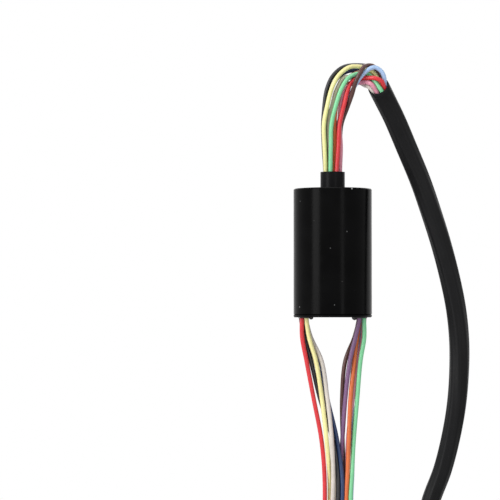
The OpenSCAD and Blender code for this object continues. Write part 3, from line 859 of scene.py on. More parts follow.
@dataclass
class Bundle:
    """The common way of twelve leads that lie side by side.

    Attributes:
        line: The bundle's centreline, in metres.
        side: The direction that its first cross axis starts near.
        turn: How far the pack turns along the way, in radians for each metre.
        inner_r: Distance of the middle leads from the centreline.
        outer_r: Distance of the outer leads.
        inner: The number of middle leads.
        ripple: How far an outer lead strays from its place.
        ripple_phase: Phase of that for each metre, in radians.
        seed_phase: Phase of that for each lead's number.
        step: The distance between a lead's points along the bundle.
        frames: The tangent and the two cross axes at each point of the line.
        at: Each point's distance along the line.
    """

    line: list[Vector]
    side: Vector
    turn: float
    inner_r: float = 0.41 * MM
    outer_r: float = 1.06 * MM
    inner: int = 3
    ripple: float = 0.03 * MM
    ripple_phase: float = 310.0
    seed_phase: float = 2.1
    step: float = 2.0 * MM
    frames: Frames = field(init=False)
    at: list[float] = field(init=False)

    def __post_init__(self) -> None:
        """Carries the cross axes along the line, and measures it."""
        self.line = respace(self.line, 0.25 * MM)
        self.frames = carried_frames(self.line, self.side)
        self.at = [0.0]
        for a, b in zip(self.line, self.line[1:]):
            self.at.append(self.at[-1] + (b - a).length)

    def across(self, point: Vector) -> tuple[float, float]:
        """Returns a point's place across the start of the bundle."""
        _, side, up = self.frames[0]
        d = point - self.line[0]
        return (d.dot(side), d.dot(up))

    def point(self, s: float, place: tuple[float, float]) -> Vector:
        """Returns the point at a place across the bundle.

        Args:
            s: The distance along the bundle, in metres.
            place: The place across it, along the two carried axes.
        """
        i = min(len(self.at) - 1, max(0, round(s / self.at[-1] * (len(self.at) - 1))))
        _, side, up = self.frames[i]
        a = self.turn * s
        x, y = place
        x, y = x * math.cos(a) - y * math.sin(a), x * math.sin(a) + y * math.cos(a)
        return self.line[i] + side * x + up * y

    def places(self, ends: dict[LeadColour, Vector]) -> dict[LeadColour, tuple[float, float]]:
        """Gives each lead the place in the pack that is nearest to where it comes from.

        Args:
            ends: Where each lead's own route ends.

        Returns:
            Each lead's place across the bundle.
        """
        across = {c: self.across(p) for c, p in ends.items()}
        ordered = sorted(across, key=lambda c: math.hypot(*across[c]))
        made: dict[LeadColour, tuple[float, float]] = {}
        inner, outer = ordered[: self.inner], ordered[self.inner :]
        for group, radius, offset in ((inner, self.inner_r, 90), (outer, self.outer_r, 30)):
            group = sorted(group, key=lambda c: math.atan2(across[c][1], across[c][0]))
            step = 360 / len(group)
            slots = [polar(radius, offset + step * k)[:2] for k in range(len(group))]
            slots.sort(key=lambda p: math.atan2(p[1], p[0]))

            def cost(shift: int) -> float:
                """Returns how far the leads lie from their places at a shift."""
                shifted = slots[shift:] + slots[:shift]
                return sum(math.dist(across[c], slot) ** 2 for c, slot in zip(group, shifted))

            best = min(range(len(slots)), key=cost)
            made.update(zip(group, slots[best:] + slots[:best]))
        return made

    def follow(
        self, end: Vector, place: tuple[float, float], length: float, settle: float, seed: int
    ) -> list[Vector]:
        """Leads on from the end of a lead's own route along the bundle.

        Args:
            end: Where the route ends.
            place: The lead's place in the pack.
            length: How much lead is left, in metres.
            settle: The distance in which the lead reaches its place.
            seed: The lead's number, for its small unevenness.

        Returns:
            The points that follow.
        """
        start = self.across(end)
        points, s, last, run = [], settle * 0.5, end, 0.0
        while s <= self.at[-1]:
            w = min(1.0, s / settle)
            w = w * w * (3 - 2 * w)
            phase = s * self.ripple_phase + seed * self.seed_phase
            stray = 1 + self.ripple * math.sin(phase) * w / self.outer_r
            point = self.point(s, tuple(a * (1 - w) + b * w * stray for a, b in zip(start, place)))
            reach = (point - last).length
            if run + reach > length:
                points.append(last.lerp(point, (length - run) / reach))
                break
            run += reach
            points.append(point)
            last = point
            s += self.step
        return points


FOLD_STEPS = 8
FOLD_EASE = 4.0
RUN_EASE = 6.0
FOLD_RADIUS = 4.0
FOLD_LEAN = 1.5


def folded(place: Point, run: float, top: float) -> list[Vector]:
    """Returns the three runs and two folds of a hank, from the top of its first run.

    Args:
        place: The hank's middle across, and the height of its first run's top.
        run: How far the bottom fold's centre lies below that, in millimetres.
        top: The height of the top fold's centre.
    """
    x, y, z = place
    low, r = z - run, FOLD_RADIUS
    turns = [(k / FOLD_STEPS, math.pi * k / FOLD_STEPS) for k in range(FOLD_STEPS + 1)]
    points = [(x - r, y - FOLD_LEAN, h) for h in (z - FOLD_EASE, (z + low) / 2, low + FOLD_EASE)]
    points += [(x - r * math.cos(a), y - FOLD_LEAN * (1 - k), low - r * math.sin(a)) for k, a in turns]
    points += [(x + r, y, h) for h in (low + RUN_EASE, (top + low) / 2, top - RUN_EASE)]
    points += [(x + r * math.cos(a), y + FOLD_LEAN * k, top + r * math.sin(a)) for k, a in turns]
    last = (top - RUN_EASE, (top + low) / 2, low, low - FOLD_EASE)
    points += [(x - r, y + FOLD_LEAN, h) for h in last]
    return millimetres(points)


@dataclass
class LeadSet:
    """The twelve leads of one side, as separate tubes.

    Attributes:
        routes: Each lead's points in the open, in millimetres.
        body: The body that they ride on.
        finishes: The insulation's finish for each colour.
        tinned: The finish of the bare ends.
        diameter: A lead's diameter over its insulation, in metres.
        bare: The conductor's radius, as a share of the diameter.
        free_length: Its length from where it leaves the object, in metres.
        bare_length: The stripped and tinned end.
        spare: How much shorter than that the shortest lead is cut.
        near_step: Distance between the rings of points near the object.
        far_step: Their distance further off.
        near_length: How far along the lead near_step holds.
        core_top: Height of the top of the rings' core, in millimetres.
        barrier: Thickness of the barriers between the rings.
        ring_width: Width of a ring.
        hank: The hank's middle, and the height of its first run's top, in millimetres.
        hank_run: How far its bottom fold lies below that.
        hank_top: Height of its top fold.
        lead_in: The bundle's points before the hank.
        across: The direction that the bundle's first cross axis starts near.
        turn: How far the bundle turns along its way, in radians for each metre.
        settle: Distance in which a lead reaches its place in the bundle, in metres.
        cut: Phase of each lead's own share of the spare length, in radians.
    """

    routes: ClassVar[dict[LeadColour, list[Point]]]

    body: str
    finishes: dict[LeadColour, bpy.types.Material]
    tinned: bpy.types.Material
    diameter: float = 0.7 * MM
    bare: float = 0.28
    free_length: float = 0.25
    bare_length: float = 3.0 * MM
    spare: float = 2.0 * MM
    near_step: float = 0.4 * MM
    far_step: float = 1.1 * MM
    near_length: float = 0.075
    core_top: float = 6.785
    barrier: float = 0.44
    ring_width: float = 0.6
    hank: Point = (0.0, 0.0, -50.0)
    hank_run: float = 62.0
    hank_top: float = -53.5
    lead_in: Sequence[Point] = ((0.35, -0.35, -44.5), (-0.3, -0.5, -46.5))
    across: Point = (1.0, 0.0, 0.0)
    turn: float = 6.0
    settle: float = 8.0 * MM
    cut: float = 2.3

    def inside(self, c: Circuit) -> list[Point]:
        """Returns the points of a lead up to where it leaves the object."""
        raise NotImplementedError

    def ring_z(self, c: Circuit) -> float:
        """Returns the height of a circuit's ring, in millimetres."""
        pitch = self.ring_width + self.barrier
        return self.core_top - self.barrier - self.ring_width / 2 - (c.ring - 1) * pitch

    def tube(
        self, name: str, route: list[Vector], colour: LeadColour
    ) -> tuple[bpy.types.Object, list[Vector]]:
        """Makes one lead with its stripped end.

        Args:
            name: The lead's name.
            route: The points that it passes through.
            colour: Its colour.

        Returns:
            The lead, and its centreline.
        """
        fine = smooth_path(route, self.near_step)
        split = min(len(fine) - 2, int(self.near_length / self.near_step))
        line = fine[:split] + respace(fine[split:], self.far_step)
        total = path_length(line)
        radii, slots, run = [], [], 0.0
        full, bare = self.diameter / 2, self.diameter * self.bare
        for i, p in enumerate(line):
            run += (p - line[i - 1]).length if i else 0.0
            stripped = run > total - self.bare_length
            radii.append(bare if stripped else full)
            slots.append(int(stripped))
        first = slots.index(1)
        for step, share, radius, slot in ((first, 0.03, full * 0.97, 0), (first + 1, 0.02, bare, 1)):
            line.insert(step, line[step - 1].lerp(line[step], share))
            radii.insert(step, radius)
            slots.insert(step, slot)
        made = round_tube(name, line, radii, [self.finishes[colour], self.tinned], slots, sides=14)
        return made, line

    def build(self, tie: bpy.types.Object) -> None:
        way = millimetres(self.lead_in) + folded(self.hank, self.hank_run, self.hank_top)
        bundle = Bundle(smooth_path(way, self.near_step), Vector(self.across), self.turn)
        places = bundle.places({c: Vector(points[-1]) * MM for c, points in self.routes.items()})
        for i, c in enumerate(CIRCUITS):
            self.lay(i, c, bundle, places[c.colour])

    def lay(
        self, i: int, c: Circuit, bundle: Bundle, place: tuple[float, float]
    ) -> None:
        """Makes one lead along its whole way and parents it to its body.

        Args:
            i: The lead's number.
            c: Its circuit.
            bundle: The leads' common way.
            place: Its place across the bundle.
        """
        inside = self.inside(c)
        route = millimetres([*inside, *self.routes[c.colour]])
        start = len(inside) - 1
        rest = self.free_length - path_length(route[start:]) - self.spare * math.sin(i * self.cut) ** 2
        route += bundle.follow(route[-1], place, rest, self.settle, i)
        node = f"{self.body}_lead_{c.colour.label}"
        made, line = self.tube(f"{node}_tube", route, c.colour)
        carries = c.colour is LeadColour.BLACK
        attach(made, self.body)
        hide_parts(*([node, f"{self.body}_hank"] if carries else [node]))
        log.info("%s: %.1f mm of lead", made.name, path_length(line) / MM)


@dataclass
class RotorLeads(LeadSet):
    """The rotor's leads: up the shaft's bore, over in an arc and down the sleeve.

    Attributes:
        ring_r: Radius at which a lead meets its ring, in millimetres.
        window: Radius and rise of its points in the window through the shaft's wall.
        bore_r: Its distance from the axis where it turns up, unless it lies nearer.
        stub_z: Height of the stub's end.
    """

    routes = ROTOR_ROUTES
    ring_r: float = 2.67
    window: Sequence[tuple[float, float]] = ((1.95, 0.15), (1.45, 0.6), (1.2, 1.3))
    bore_r: float = 1.2
    stub_z: float = 12.95
    hank: Point = (18.4, 3.5, -50.0)
    hank_run: float = 41.0
    hank_top: float = -51.0
    lead_in: Sequence[Point] = tuple(SLEEVE_ROUTE[:-1])
    across: Point = (1.0, 0.0, 0.4)
    turn: float = 7.0
    settle: float = 5.0 * MM
    cut: float = 1.7

    def inside(self, c: Circuit) -> list[Point]:
        """Returns the points of a lead from its ring to the top of the stub."""
        z = self.ring_z(c)
        points = [polar(self.ring_r, c.window_a, z)]
        points += [polar(r, c.window_a, z + rise) for r, rise in self.window]
        if c.bore_r < self.bore_r:
            points.append(polar(c.bore_r, c.bore_a, z + 2 * self.window[-1][1]))
        return [*points, polar(c.bore_r, c.bore_a, self.stub_z)]


@dataclass
class StatorLeads(LeadSet):
    """The stator's leads: out of the end cap in two groups, crossing over into a hank.

    Attributes:
        wall_r: Their distance from the axis along the brush blocks, in millimetres.
        first_a: Angle of the leads of rank 0 from the X axis, in degrees.
        step_a: Angle from one rank to the next.
        start_z: Height at which they leave the wall.
        seal_z: Height of the seal's top.
        leave_z: Height at which they leave the object.
        exits: For each rank, the distance from the Y axis at the seal's back and front, and from the X axis.
        strip: Height of a brush's strip.
    """

    routes = STATOR_ROUTES
    wall_r: float = 5.1
    first_a: float = 19.91
    step_a: float = 9.788
    start_z: float = -6.4
    seal_z: float = -9.2
    leave_z: float = -10.5
    exits: Sequence[Point] = ((5.05, 4.3, 0.0), (4.95, 4.95, 0.87), (4.2, 4.2, 1.27))
    strip: float = 0.25

    def inside(self, c: Circuit) -> list[Point]:
        """Returns the points of a lead from its brush to just under the end cap."""
        sign, rank = c.slot
        x, y, z = polar(self.wall_r, self.first_a + rank * self.step_a, self.ring_z(c) - self.strip / 2)
        back, front, row = self.exits[rank]
        wall = (c.side * x, sign * y)
        out = (c.side * (back if sign > 0 else front), sign * row)
        return [(*wall, z), (*wall, self.start_z), (*out, self.seal_z), (*out, self.leave_z)]


@dataclass
class Sleeve:
    """The soft sleeve round the rotor's leads, cut aslant at its mouth.

    Attributes:
        finish: The sleeve's finish.
        wall: Its wall.
        radii: Its outside radius in millimetres, at shares of its length.
        cut: The vector that its mouth is cut across.
        cut_reach: How far along the sleeve the slant fades out.
        lip: How much narrower the mouth's edge is, in millimetres.
        ridges: The number of ridges round it, where it lies on the leads.
        ridge: Their height, in metres.
        twist: Their phase for each metre along it, in radians.
        sides: The number of points round it.
        length: Its real length, in metres. Not used.
        diameter: Its real diameter. Not used.
    """

    finish: bpy.types.Material
    wall: float = 0.22 * MM
    radii: tuple[tuple[float, float], ...] = ((0.0, 1.74), (0.08, 1.7), (0.5, 1.62), (0.8, 1.5), (1.0, 1.46))
    cut: Point = (-0.35, -0.7, 0.6)
    cut_reach: float = 4.0 * MM
    lip: float = 0.03
    ridges: int = 7
    ridge: float = 0.018 * MM
    twist: float = 260.0
    sides: int = 48
    length: float = 0.08
    diameter: float = 3.3 * MM

    def radius(self, share: float) -> float:
        """Returns the outside radius at a share of the length."""
        for (a, ra), (b, rb) in zip(self.radii, self.radii[1:]):
            if share <= b:
                t = (share - a) / (b - a)
                return (ra + (rb - ra) * t * t * (3 - 2 * t)) * MM
        return self.radii[-1][1] * MM

    def build(self) -> bpy.types.Object:
        """Makes and returns the sleeve."""
        line = smooth_path(millimetres(SLEEVE_ROUTE), 0.5 * MM)
        total = path_length(line)
        outer, inner, along = [], [], []
        for i, (tangent, side, up) in enumerate(carried_frames(line, Vector((0.2, -1.0, 0.0)))):
            s = total * i / (len(line) - 1)
            radius = self.radius(s / total)
            lip = 0.0 if i else self.lip * MM
            rings: tuple[list[Vector], list[Vector]] = ([], [])
            for j in range(self.sides):
                a = TURN * j / self.sides
                out = side * math.cos(a) + up * math.sin(a)
                ridge = self.ridge * math.sin(self.ridges * a + s * self.twist)
                for ring, r in zip(rings, (radius + ridge - lip, radius - self.wall)):
                    ring.append(self.slanted(line[i] + out * r, line[0], tangent, s))
            outer.append(rings[0])
            inner.append(rings[1])
            along.append(s)
        mouth = self.rim(outer[0], inner[0], outer[1], 0.15)
        end = self.rim(outer[-1], inner[-1], outer[-2], 0.1)
        way = [*along, total + 0.1 * MM, *(2 * total + 0.3 * MM - s for s in reversed(along))]
        way += [2 * total + 0.5 * MM, 2 * total + 0.7 * MM]
        builder = MeshBuilder("lead_sleeve_tube")
        builder.ring_tube([*outer, end, *inner[::-1], mouth, outer[0]], way, close_ends=False)
        made = builder.build([self.finish])
        weld(made, 0.002 * MM)
        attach(made, "rotor")
        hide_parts("lead_sleeve")
        log.info("%s: %.1f mm of sleeve", made.name, total / MM)
        return made

    @staticmethod
    def rim(outer: list[Vector], inner: list[Vector], behind: list[Vector], bulge: float) -> list[Vector]:
        """Returns the ring that rounds an end's edge.

        Args:
            outer: The end's outside ring.
            inner: Its inside ring.
            behind: The outside ring next to it.
            bulge: How far it stands out, as a share of the rings' distance.
        """
        return [a.lerp(b, 0.5) + (a - c) * bulge for a, b, c in zip(outer, inner, behind)]

    def slanted(self, q: Vector, mouth: Vector, tangent: Vector, s: float) -> Vector:
        """Slides a point along the sleeve, so that its mouth lies in the cut's plane.

        Args:
            q: The point.
            mouth: The middle of the mouth.
            tangent: The sleeve's direction there.
            s: The point's distance along the sleeve.
        """
        if s >= self.cut_reach:
            return q
        cut = Vector(self.cut)
        slide = (mouth - q).dot(cut) / tangent.dot(cut) + s
        return q + tangent * slide * (1 - s / self.cut_reach)


def weld(made: bpy.types.Object, distance: float) -> None:
    """Merges an object's coincident points and turns its faces outwards.

    Args:
        made: The object.
        distance: How near points are merged, in metres.
    """
    mesh = bmesh.new()
    mesh.from_mesh(made.data)
    bmesh.ops.remove_doubles(mesh, verts=mesh.verts, dist=distance)
    bmesh.ops.recalc_face_normals(mesh, faces=mesh.faces)
    mesh.to_mesh(made.data)
    mesh.free()


@dataclass
class Tie:
    """A hank's tie: a flat toothed strap round three bundles, with its head and its tail.

    Attributes:
        node: The solid that it stands for.
        body: The body that it rides on.
        centres: The bundles' centres, in millimetres.
        finish: The tie's finish.
        bundle_r: A bundle's radius.
        slack: How far outside the bundles the strap runs.
        thickness: The strap's thickness.
        width: Its width.
        head: The head's width, depth and height.
        head_seat: How deep the head sits on the strap.
        tail: The tail's width and depth.
        tail_at: The tail's place, from the strap's front.
        tooth: Pitch, length, share of the strap's width, and height of the teeth.
        samples: The number of directions in which the outline is sought.
    """

    node: str
    body: str
    centres: Sequence[tuple[float, float]]
    finish: bpy.types.Material
    bundle_r: float = 1.5
    slack: float = 0.02
    thickness: float = 0.55
    width: float = 2.4
    head: Point = (2.3, 1.5, 2.9)
    head_seat: float = 0.25
    tail: tuple[float, float] = (2.4, 0.5)
    tail_at: tuple[float, float] = (-1.9, -0.75)
    tooth: tuple[float, float, float, float] = (0.55, 0.28, 0.62, 0.14)
    samples: int = 720

    def outline(self, offset: float, count: int = 96) -> list[tuple[float, float]]:
        """Returns the strap's outline round the bundles.

        Args:
            offset: How far outside the bundles it runs.
            count: The number of points.
        """
        r = self.bundle_r + offset
        points = []
        for k in range(self.samples):
            a = TURN * k / self.samples
            n = (math.cos(a), math.sin(a))
            x, y = max(self.centres, key=lambda c: c[0] * n[0] + c[1] * n[1])
            points.append(Vector((x + r * n[0], y + r * n[1], 0)))
        points.append(points[0])
        even = respace(points, path_length(points) / count)
        return [(p.x, p.y) for p in even[:-1]]

    def teeth(self, z: float) -> bpy.types.Object:
        """Lays the strap's teeth along its outside with Geometry Nodes.

        Args:
            z: The strap's middle height, in millimetres.

        Returns:
            The teeth as one plain mesh.
        """
        points = [tuple(Vector((x, y, z)) * MM) for x, y in self.outline(self.thickness, 240)]
        mesh = bpy.data.meshes.new("tie_way")
        mesh.from_pydata(points, [(i, (i + 1) % len(points)) for i in range(len(points))], [])
        way = placed("tie_way", mesh)
        modifier = way.modifiers.new("teeth", "NODES")
        modifier.node_group = self.teeth_tree()
        pitch, length, share, height = self.tooth
        sizes = {"Pitch": pitch, "Tooth": length, "Width": self.width * share, "Height": height}
        for item in modifier.node_group.interface.items_tree:
            if item.item_type == "SOCKET" and item.in_out == "INPUT" and item.name in sizes:
                modifier[item.identifier] = sizes[item.name] * MM
        graph = bpy.context.evaluated_depsgraph_get()
        made = bpy.data.meshes.new_from_object(way.evaluated_get(graph), depsgraph=graph)
        bpy.data.objects.remove(way)
        return placed(f"{self.node}_teeth", made)

    def teeth_tree(self) -> bpy.types.NodeTree:
        """Returns the tree that sets teeth along a line at an even pitch."""
        tree = bpy.data.node_groups.new("strap teeth", "GeometryNodeTree")
        tree.interface.new_socket("Geometry", in_out="INPUT", socket_type="NodeSocketGeometry")
        for name in ("Pitch", "Tooth", "Width", "Height"):
            tree.interface.new_socket(name, in_out="INPUT", socket_type="NodeSocketFloat")
        tree.interface.new_socket("Geometry", in_out="OUTPUT", socket_type="NodeSocketGeometry")
        g = Graph(tree)
        given = g.node("NodeGroupInput")
        height, width, length, pitch = map(given.output, ("Height", "Width", "Tooth", "Pitch"))
        cube = g.node("GeometryNodeMeshCube", {}, {
            "Size": g.node("ShaderNodeCombineXYZ", {}, {"X": height, "Y": width, "Z": length}),
        })
        curve = g.node("GeometryNodeMeshToCurve", {}, {"Mesh": given.output("Geometry")})
        points = g.node(
            "GeometryNodeCurveToPoints", {"mode": "LENGTH"}, {"Curve": curve, "Length": pitch}, "Points"
        )
        onto = g.node("GeometryNodeInstanceOnPoints", {}, {
            "Points": points, "Instance": cube, "Rotation": points.output("Rotation"),
        })
        real = g.node("GeometryNodeRealizeInstances", {}, {"Geometry": onto})
        dressed = g.node("GeometryNodeSetMaterial", {}, {"Geometry": real, "Material": self.finish})
        g.end("NodeGroupOutput", "Geometry", dressed)
        return tree

    def build(self) -> bpy.types.Object:
        """Makes the tie in the middle of its solid.

        Returns:
            The tie.
        """
        low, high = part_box(self.node)
        z = (low.z + high.z) / 2 / MM
        mesh = bmesh.new()
        half, t = self.width / 2, self.thickness
        profile = [
            (0.06, -half + 0.12), (0.0, -half + 0.3), (0.0, half - 0.3), (0.06, half - 0.12), (0.16, half),
            (t - 0.16, half), (t - 0.04, half - 0.12), (t, half - 0.3), (t, -half + 0.3),
            (t - 0.04, -half + 0.12), (t - 0.16, -half), (0.16, -half),
        ]
        rings = []
        for offset, dz in profile:
            outline = self.outline(self.slack + offset)
            rings.append([mesh.verts.new(Vector((x, y, z + dz)) * MM) for x, y in outline])
        for a, b in zip(rings, rings[1:] + rings[:1]):
            for i in range(len(a)):
                j = (i + 1) % len(a)
                mesh.faces.new((a[i], a[j], b[j], b[i]))
        front = min(self.outline(t), key=lambda p: p[1])
        middle_x = sum(c[0] for c in self.centres) / len(self.centres)
        head_y = front[1] - self.head[1] / 2 + self.head_seat
        self.block(mesh, Vector((middle_x, head_y, z)) * MM, Vector(self.head) * MM)
        dx, dy = self.tail_at
        tail = Vector((*self.tail, self.width - 0.3)) * MM
        self.block(mesh, Vector((middle_x + dx, front[1] + dy, z)) * MM, tail)
        bmesh.ops.recalc_face_normals(mesh, faces=mesh.faces)
        data = bpy.data.meshes.new(f"{self.node}_strap")
        mesh.to_mesh(data)
        mesh.free()
        for polygon in data.polygons:
            polygon.use_smooth = True
        data.materials.append(self.finish)
        strap = placed(f"{self.node}_strap", data)
        teeth = self.teeth(z)
        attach(strap, self.body)
        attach(teeth, self.body)
        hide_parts(self.node)
        teeth.parent = strap
        round_it = path_length([Vector((*p, 0)) for p in self.outline(t)])
        log.info("%s: strap %.1f mm round", strap.name, round_it)
        return strap

    @staticmethod
    def block(mesh: bmesh.types.BMesh, centre: Vector, size: Vector) -> None:
        """Adds a block with rounded edges.

        Args:
            mesh: The mesh that takes it.
            centre: The block's centre.
            size: Its size.
        """
        matrix = Matrix.Translation(centre) @ Matrix.Diagonal((*size, 1.0))
        made = bmesh.ops.create_cube(mesh, size=1.0, matrix=matrix)
        edges = list({e for v in made["verts"] for e in v.link_edges})
        offset = min(size) * 0.22
        bmesh.ops.bevel(
            mesh, geom=edges, offset=offset, segments=3, profile=0.7, affect="EDGES", clamp_overlap=True
        )


# -------------------------------------------------------------------- capsule


@dataclass(frozen=True)
class Speck:
    """A speck of dust or a nick on the housing's front.

    Attributes:
        x: Its place across, in millimetres.
        z: Its height.
        size: Its radius.
        tone: How bright it is.
    """

    x: float
    z: float
    size: float
    tone: float

    def centre(self, radius: float) -> Vector:
        """Returns the speck's place on a barrel of a radius, in metres."""
        return Vector((self.x, -math.sqrt(radius**2 - self.x**2), self.z)) * MM


SPECKS = [
    Speck(-5.27, 8.14, 0.09, 0.10),
    Speck(2.07, 3.27, 0.10, 0.12),
    Speck(-0.56, 0.64, 0.09, 0.09),
    Speck(-5.35, -8.6, 0.11, 0.16),
    Speck(0.08, -8.3, 0.09, 0.12),
    Speck(1.3, -4.6, 0.07, 0.06),
    Speck(-3.1, 5.0, 0.06, 0.06),
    Speck(2.87, 10.05, 0.13, 0.5),
]


@dataclass
class Capsule:
    """The housing, the shaft and all that turns or rubs inside them.

    Attributes:
        nodes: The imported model's objects, by name.
        housing_r: The housing's radius, in millimetres.
        plastic: The housing's colour.
        rough: Its least and its greatest roughness.
        specular: Its Specular IOR Level.
        marks: Phase of its turning marks for each metre, in radians.
        heights: Heights of its grain and of its turning marks, in metres.
    """

    nodes: dict[str, bpy.types.Object]
    housing_r: float = 6.25
    plastic: Colour = (0.0014, 0.0014, 0.0015)
    rough: tuple[float, float] = (0.16, 0.22)
    specular: float = 0.045
    marks: float = 24000.0
    heights: tuple[float, float] = (0.000005, 0.0000006)

    def housing_finish(self) -> bpy.types.Material:
        """Returns the housing's moulded plastic, with its few specks."""
        s = Shader("housing plastic")
        cloud = s.noise(240.0, 4.0)
        grain = s.noise(7000.0, 2.0, 0.6)
        colour = s.tint(cloud.span(0.35, 0.8), self.plastic, 1.6, 0.001)
        for speck in SPECKS:
            far = s.node(
                "ShaderNodeVectorMath",
                {"operation": "DISTANCE"},
                {0: s.place(), 1: speck.centre(self.housing_r)},
                "Value",
            )
            mask = far.span(speck.size * 1.25 * MM, speck.size * 0.6 * MM)
            colour = s.mix(mask, colour, (speck.tone,) * 3)
        s.set(Base_Color=colour, Roughness=cloud.span(0.3, 0.7, *self.rough))
        s.set(IOR=1.46, Specular_IOR_Level=self.specular)
        rings = (s.axis(s.place(), 2) * self.marks).sine()
        s.bump(grain * self.heights[0] + rings * self.heights[1])
        return s.material

    def dress(self) -> None:
        """Gives every rigid solid its finish."""
        housing = self.housing_finish()
        cap = MouldedPlastic("end cap plastic", (0.0012, 0.0012, 0.0014), 0.34, specular=0.045).make()
        shaft = MouldedPlastic("shaft plastic", (0.003, 0.003, 0.0035), 0.36, specular=0.09).make()
        seal = CastPlastic("potting", (0.012, 0.012, 0.013), 900.0, 2.2, (0.18, 0.4), 1.5, 0.00008).make()
        race = Metal("bearing steel", (0.62, 0.63, 0.65), 0.22).make()
        ball = Metal("ball steel", (0.72, 0.73, 0.75), 0.08, 0.0).make()
        clip = Metal("spring steel", (0.56, 0.57, 0.60), 0.3).make()
        core = MouldedPlastic("core plastic", (0.62, 0.55, 0.38), 0.4).make()
        ring = Metal("gold plate", (0.83, 0.60, 0.22), 0.18).make()
        block = Board("brush board", (0.012, 0.075, 0.045)).make()
        brush = Metal("brush spring", (0.86, 0.64, 0.26), 0.24, 0.0).make()
        wanted = {"housing": housing, "end_cap": cap, "rotor_shaft": shaft, "retaining_clip": clip}
        wanted["ring_core"] = core
        for side in ("left", "right"):
            wanted[f"exit_seal_{side}"] = seal
            wanted[f"brush_block_{side}"] = block
            wanted[f"brushes_{side}"] = brush
        for bearing in ("upper", "lower"):
            wanted[f"{bearing}_bearing_outer"] = wanted[f"{bearing}_bearing_inner"] = race
            wanted[f"{bearing}_bearing_balls"] = ball
        for c in CIRCUITS:
            wanted[f"ring_{c.colour.label}"] = ring
        for name, finish in wanted.items():
            data = self.nodes[name].data
            if not data.materials:
                data.materials.append(None)
            for i in range(len(data.materials)):
                data.materials[i] = finish
            log.info("%s: %s", name, finish.name)


# --------------------------------------------------------------------- studio


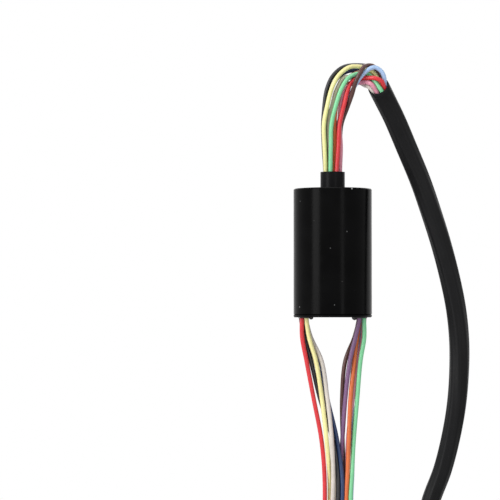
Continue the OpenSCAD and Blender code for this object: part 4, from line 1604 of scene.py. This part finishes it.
@dataclass
class Studio:
    """The floor, the lamps, the world and the camera.

    Attributes:
        floor_z: The floor's height, in metres.
        floor_r: Its radius.
        camera_at: The camera's place, in millimetres.
        look_at: The point that it looks at.
        lens: Its focal length, in millimetres.
        soft: Strength of the world's light.
        white: Strength of the world where it is seen or mirrored.
        lamp_distance: The lamps' distance, in metres.
        lamps: Each lamp's name, azimuth, elevation, watts and size.
    """

    floor_z: float
    floor_r: float = 0.8
    camera_at: Point = (-13.2, -420.0, -10.2)
    look_at: Point = (-13.2, 0.0, 0.5)
    lens: float = 189.5
    soft: float = 0.38
    white: float = 1.0
    lamp_distance: float = 0.9
    lamps: Sequence[tuple[str, float, float, float, tuple[float, float]]] = (
        ("key", -52.0, 22.0, 5.4, (0.36, 0.8)),
        ("fill", 27.0, 10.0, 0.9, (0.12, 0.8)),
        ("top", -10.0, 78.0, 2.6, (0.6, 0.6)),
        ("rim", 165.0, 35.0, 1.2, (0.6, 0.6)),
    )

    def floor(self) -> None:
        """Lays the pale floor."""
        mesh = bmesh.new()
        bmesh.ops.create_circle(mesh, cap_ends=True, segments=96, radius=self.floor_r)
        data = bpy.data.meshes.new("floor")
        mesh.to_mesh(data)
        mesh.free()
        made = placed("floor", data)
        made.location = (0.0, 0.0, self.floor_z)
        s = Shader("floor paper")
        paper = s.mix(s.noise(8.0).span(0.3, 0.7), (0.80, 0.80, 0.80), (0.83, 0.83, 0.83))
        s.set(Base_Color=paper, Roughness=0.8)
        data.materials.append(s.material)
        made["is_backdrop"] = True

    def world(self) -> None:
        """Makes a white surround that lights the object softly."""
        world = bpy.data.worlds.new("studio")
        bpy.context.scene.world = world
        world.use_nodes = True
        g = Graph(world.node_tree)
        rays = g.node("ShaderNodeLightPath", output="Is Camera Ray")
        seen = rays.maximum(rays.output("Is Glossy Ray")).maximum(rays.output("Is Transmission Ray"))
        soft, white = (
            g.node("ShaderNodeBackground", {}, {"Color": (1.0, 1.0, 1.0), "Strength": strength})
            for strength in (self.soft, self.white)
        )
        mixed = g.node("ShaderNodeMixShader", {}, {0: seen, 1: soft, 2: white})
        g.end("ShaderNodeOutputWorld", "Surface", mixed)

    def lamp(
        self, name: str, azimuth: float, elevation: float, power: float, size: tuple[float, float]
    ) -> None:
        """Sets a soft lamp that faces the object.

        Args:
            name: The lamp's name.
            azimuth: Its direction seen from the object, 0 at the front and positive to the right.
            elevation: Its height above the horizon, in degrees.
            power: Its power, in watts.
            size: Its width and height, in metres.
        """
        data = bpy.data.lights.new(name, "AREA")
        data.shape = "RECTANGLE"
        data.size, data.size_y = size
        data.energy = power
        lamp = placed(name, data)
        a, e = math.radians(azimuth), math.radians(elevation)
        away = Vector((math.sin(a) * math.cos(e), -math.cos(a) * math.cos(e), math.sin(e)))
        lamp.location = away * self.lamp_distance
        lamp.rotation_mode = "QUATERNION"
        lamp.rotation_quaternion = away.to_track_quat("Z", "Y")

    def camera(self) -> None:
        """Sets the camera."""
        data = bpy.data.cameras.new("camera")
        data.lens = self.lens
        data.sensor_width = 36.0
        data.dof.use_dof = False
        data.clip_start, data.clip_end = 0.01, 10.0
        made = placed("camera", data)
        made.location = Vector(self.camera_at) * MM
        made.rotation_mode = "QUATERNION"
        way = (Vector(self.look_at) - Vector(self.camera_at)).normalized()
        made.rotation_quaternion = way.to_track_quat("-Z", "Y")
        bpy.context.scene.camera = made

    def build(self) -> None:
        """Sets the whole studio."""
        bpy.context.scene.view_settings.view_transform = "Standard"
        self.floor()
        self.world()
        for lamp in self.lamps:
            self.lamp(*lamp)
        self.camera()


def main() -> None:
    """Builds the slip ring's looks, piece by piece."""
    logging.basicConfig(level=logging.INFO, format="%(name)s: %(message)s")
    cad_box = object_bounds()
    Studio(floor_z=cad_box[0].z).build()
    insulation = {c: Insulation(f"insulation {c.label}", c.written).make() for c in LeadColour}
    tinned = Metal("tinned copper", (0.66, 0.65, 0.62), 0.28, 0.0).make()
    nylon = CastPlastic("tie nylon", (0.80, 0.79, 0.74), 600.0, 0.92, (0.32, 0.45), 1.53, 0.00001).make()
    rotor_tie = Tie("rotor_tie", "rotor", [(14.4, 2.0), (22.4, 3.5), (14.4, 5.0)], nylon).build()
    stator_tie = Tie("stator_tie", "stator", [(-4.0, -1.5), (4.0, 0.0), (-4.0, 1.5)], nylon).build()
    RotorLeads("rotor", insulation, tinned).build(rotor_tie)
    StatorLeads("stator", insulation, tinned).build(stator_tie)
    Sleeve(ShrinkSleeve("sleeve", (0.0075, 0.0075, 0.008), 0.42).make()).build()
    Capsule(frame["nodes"]).dress()


if __name__ == "__main__":
    main()
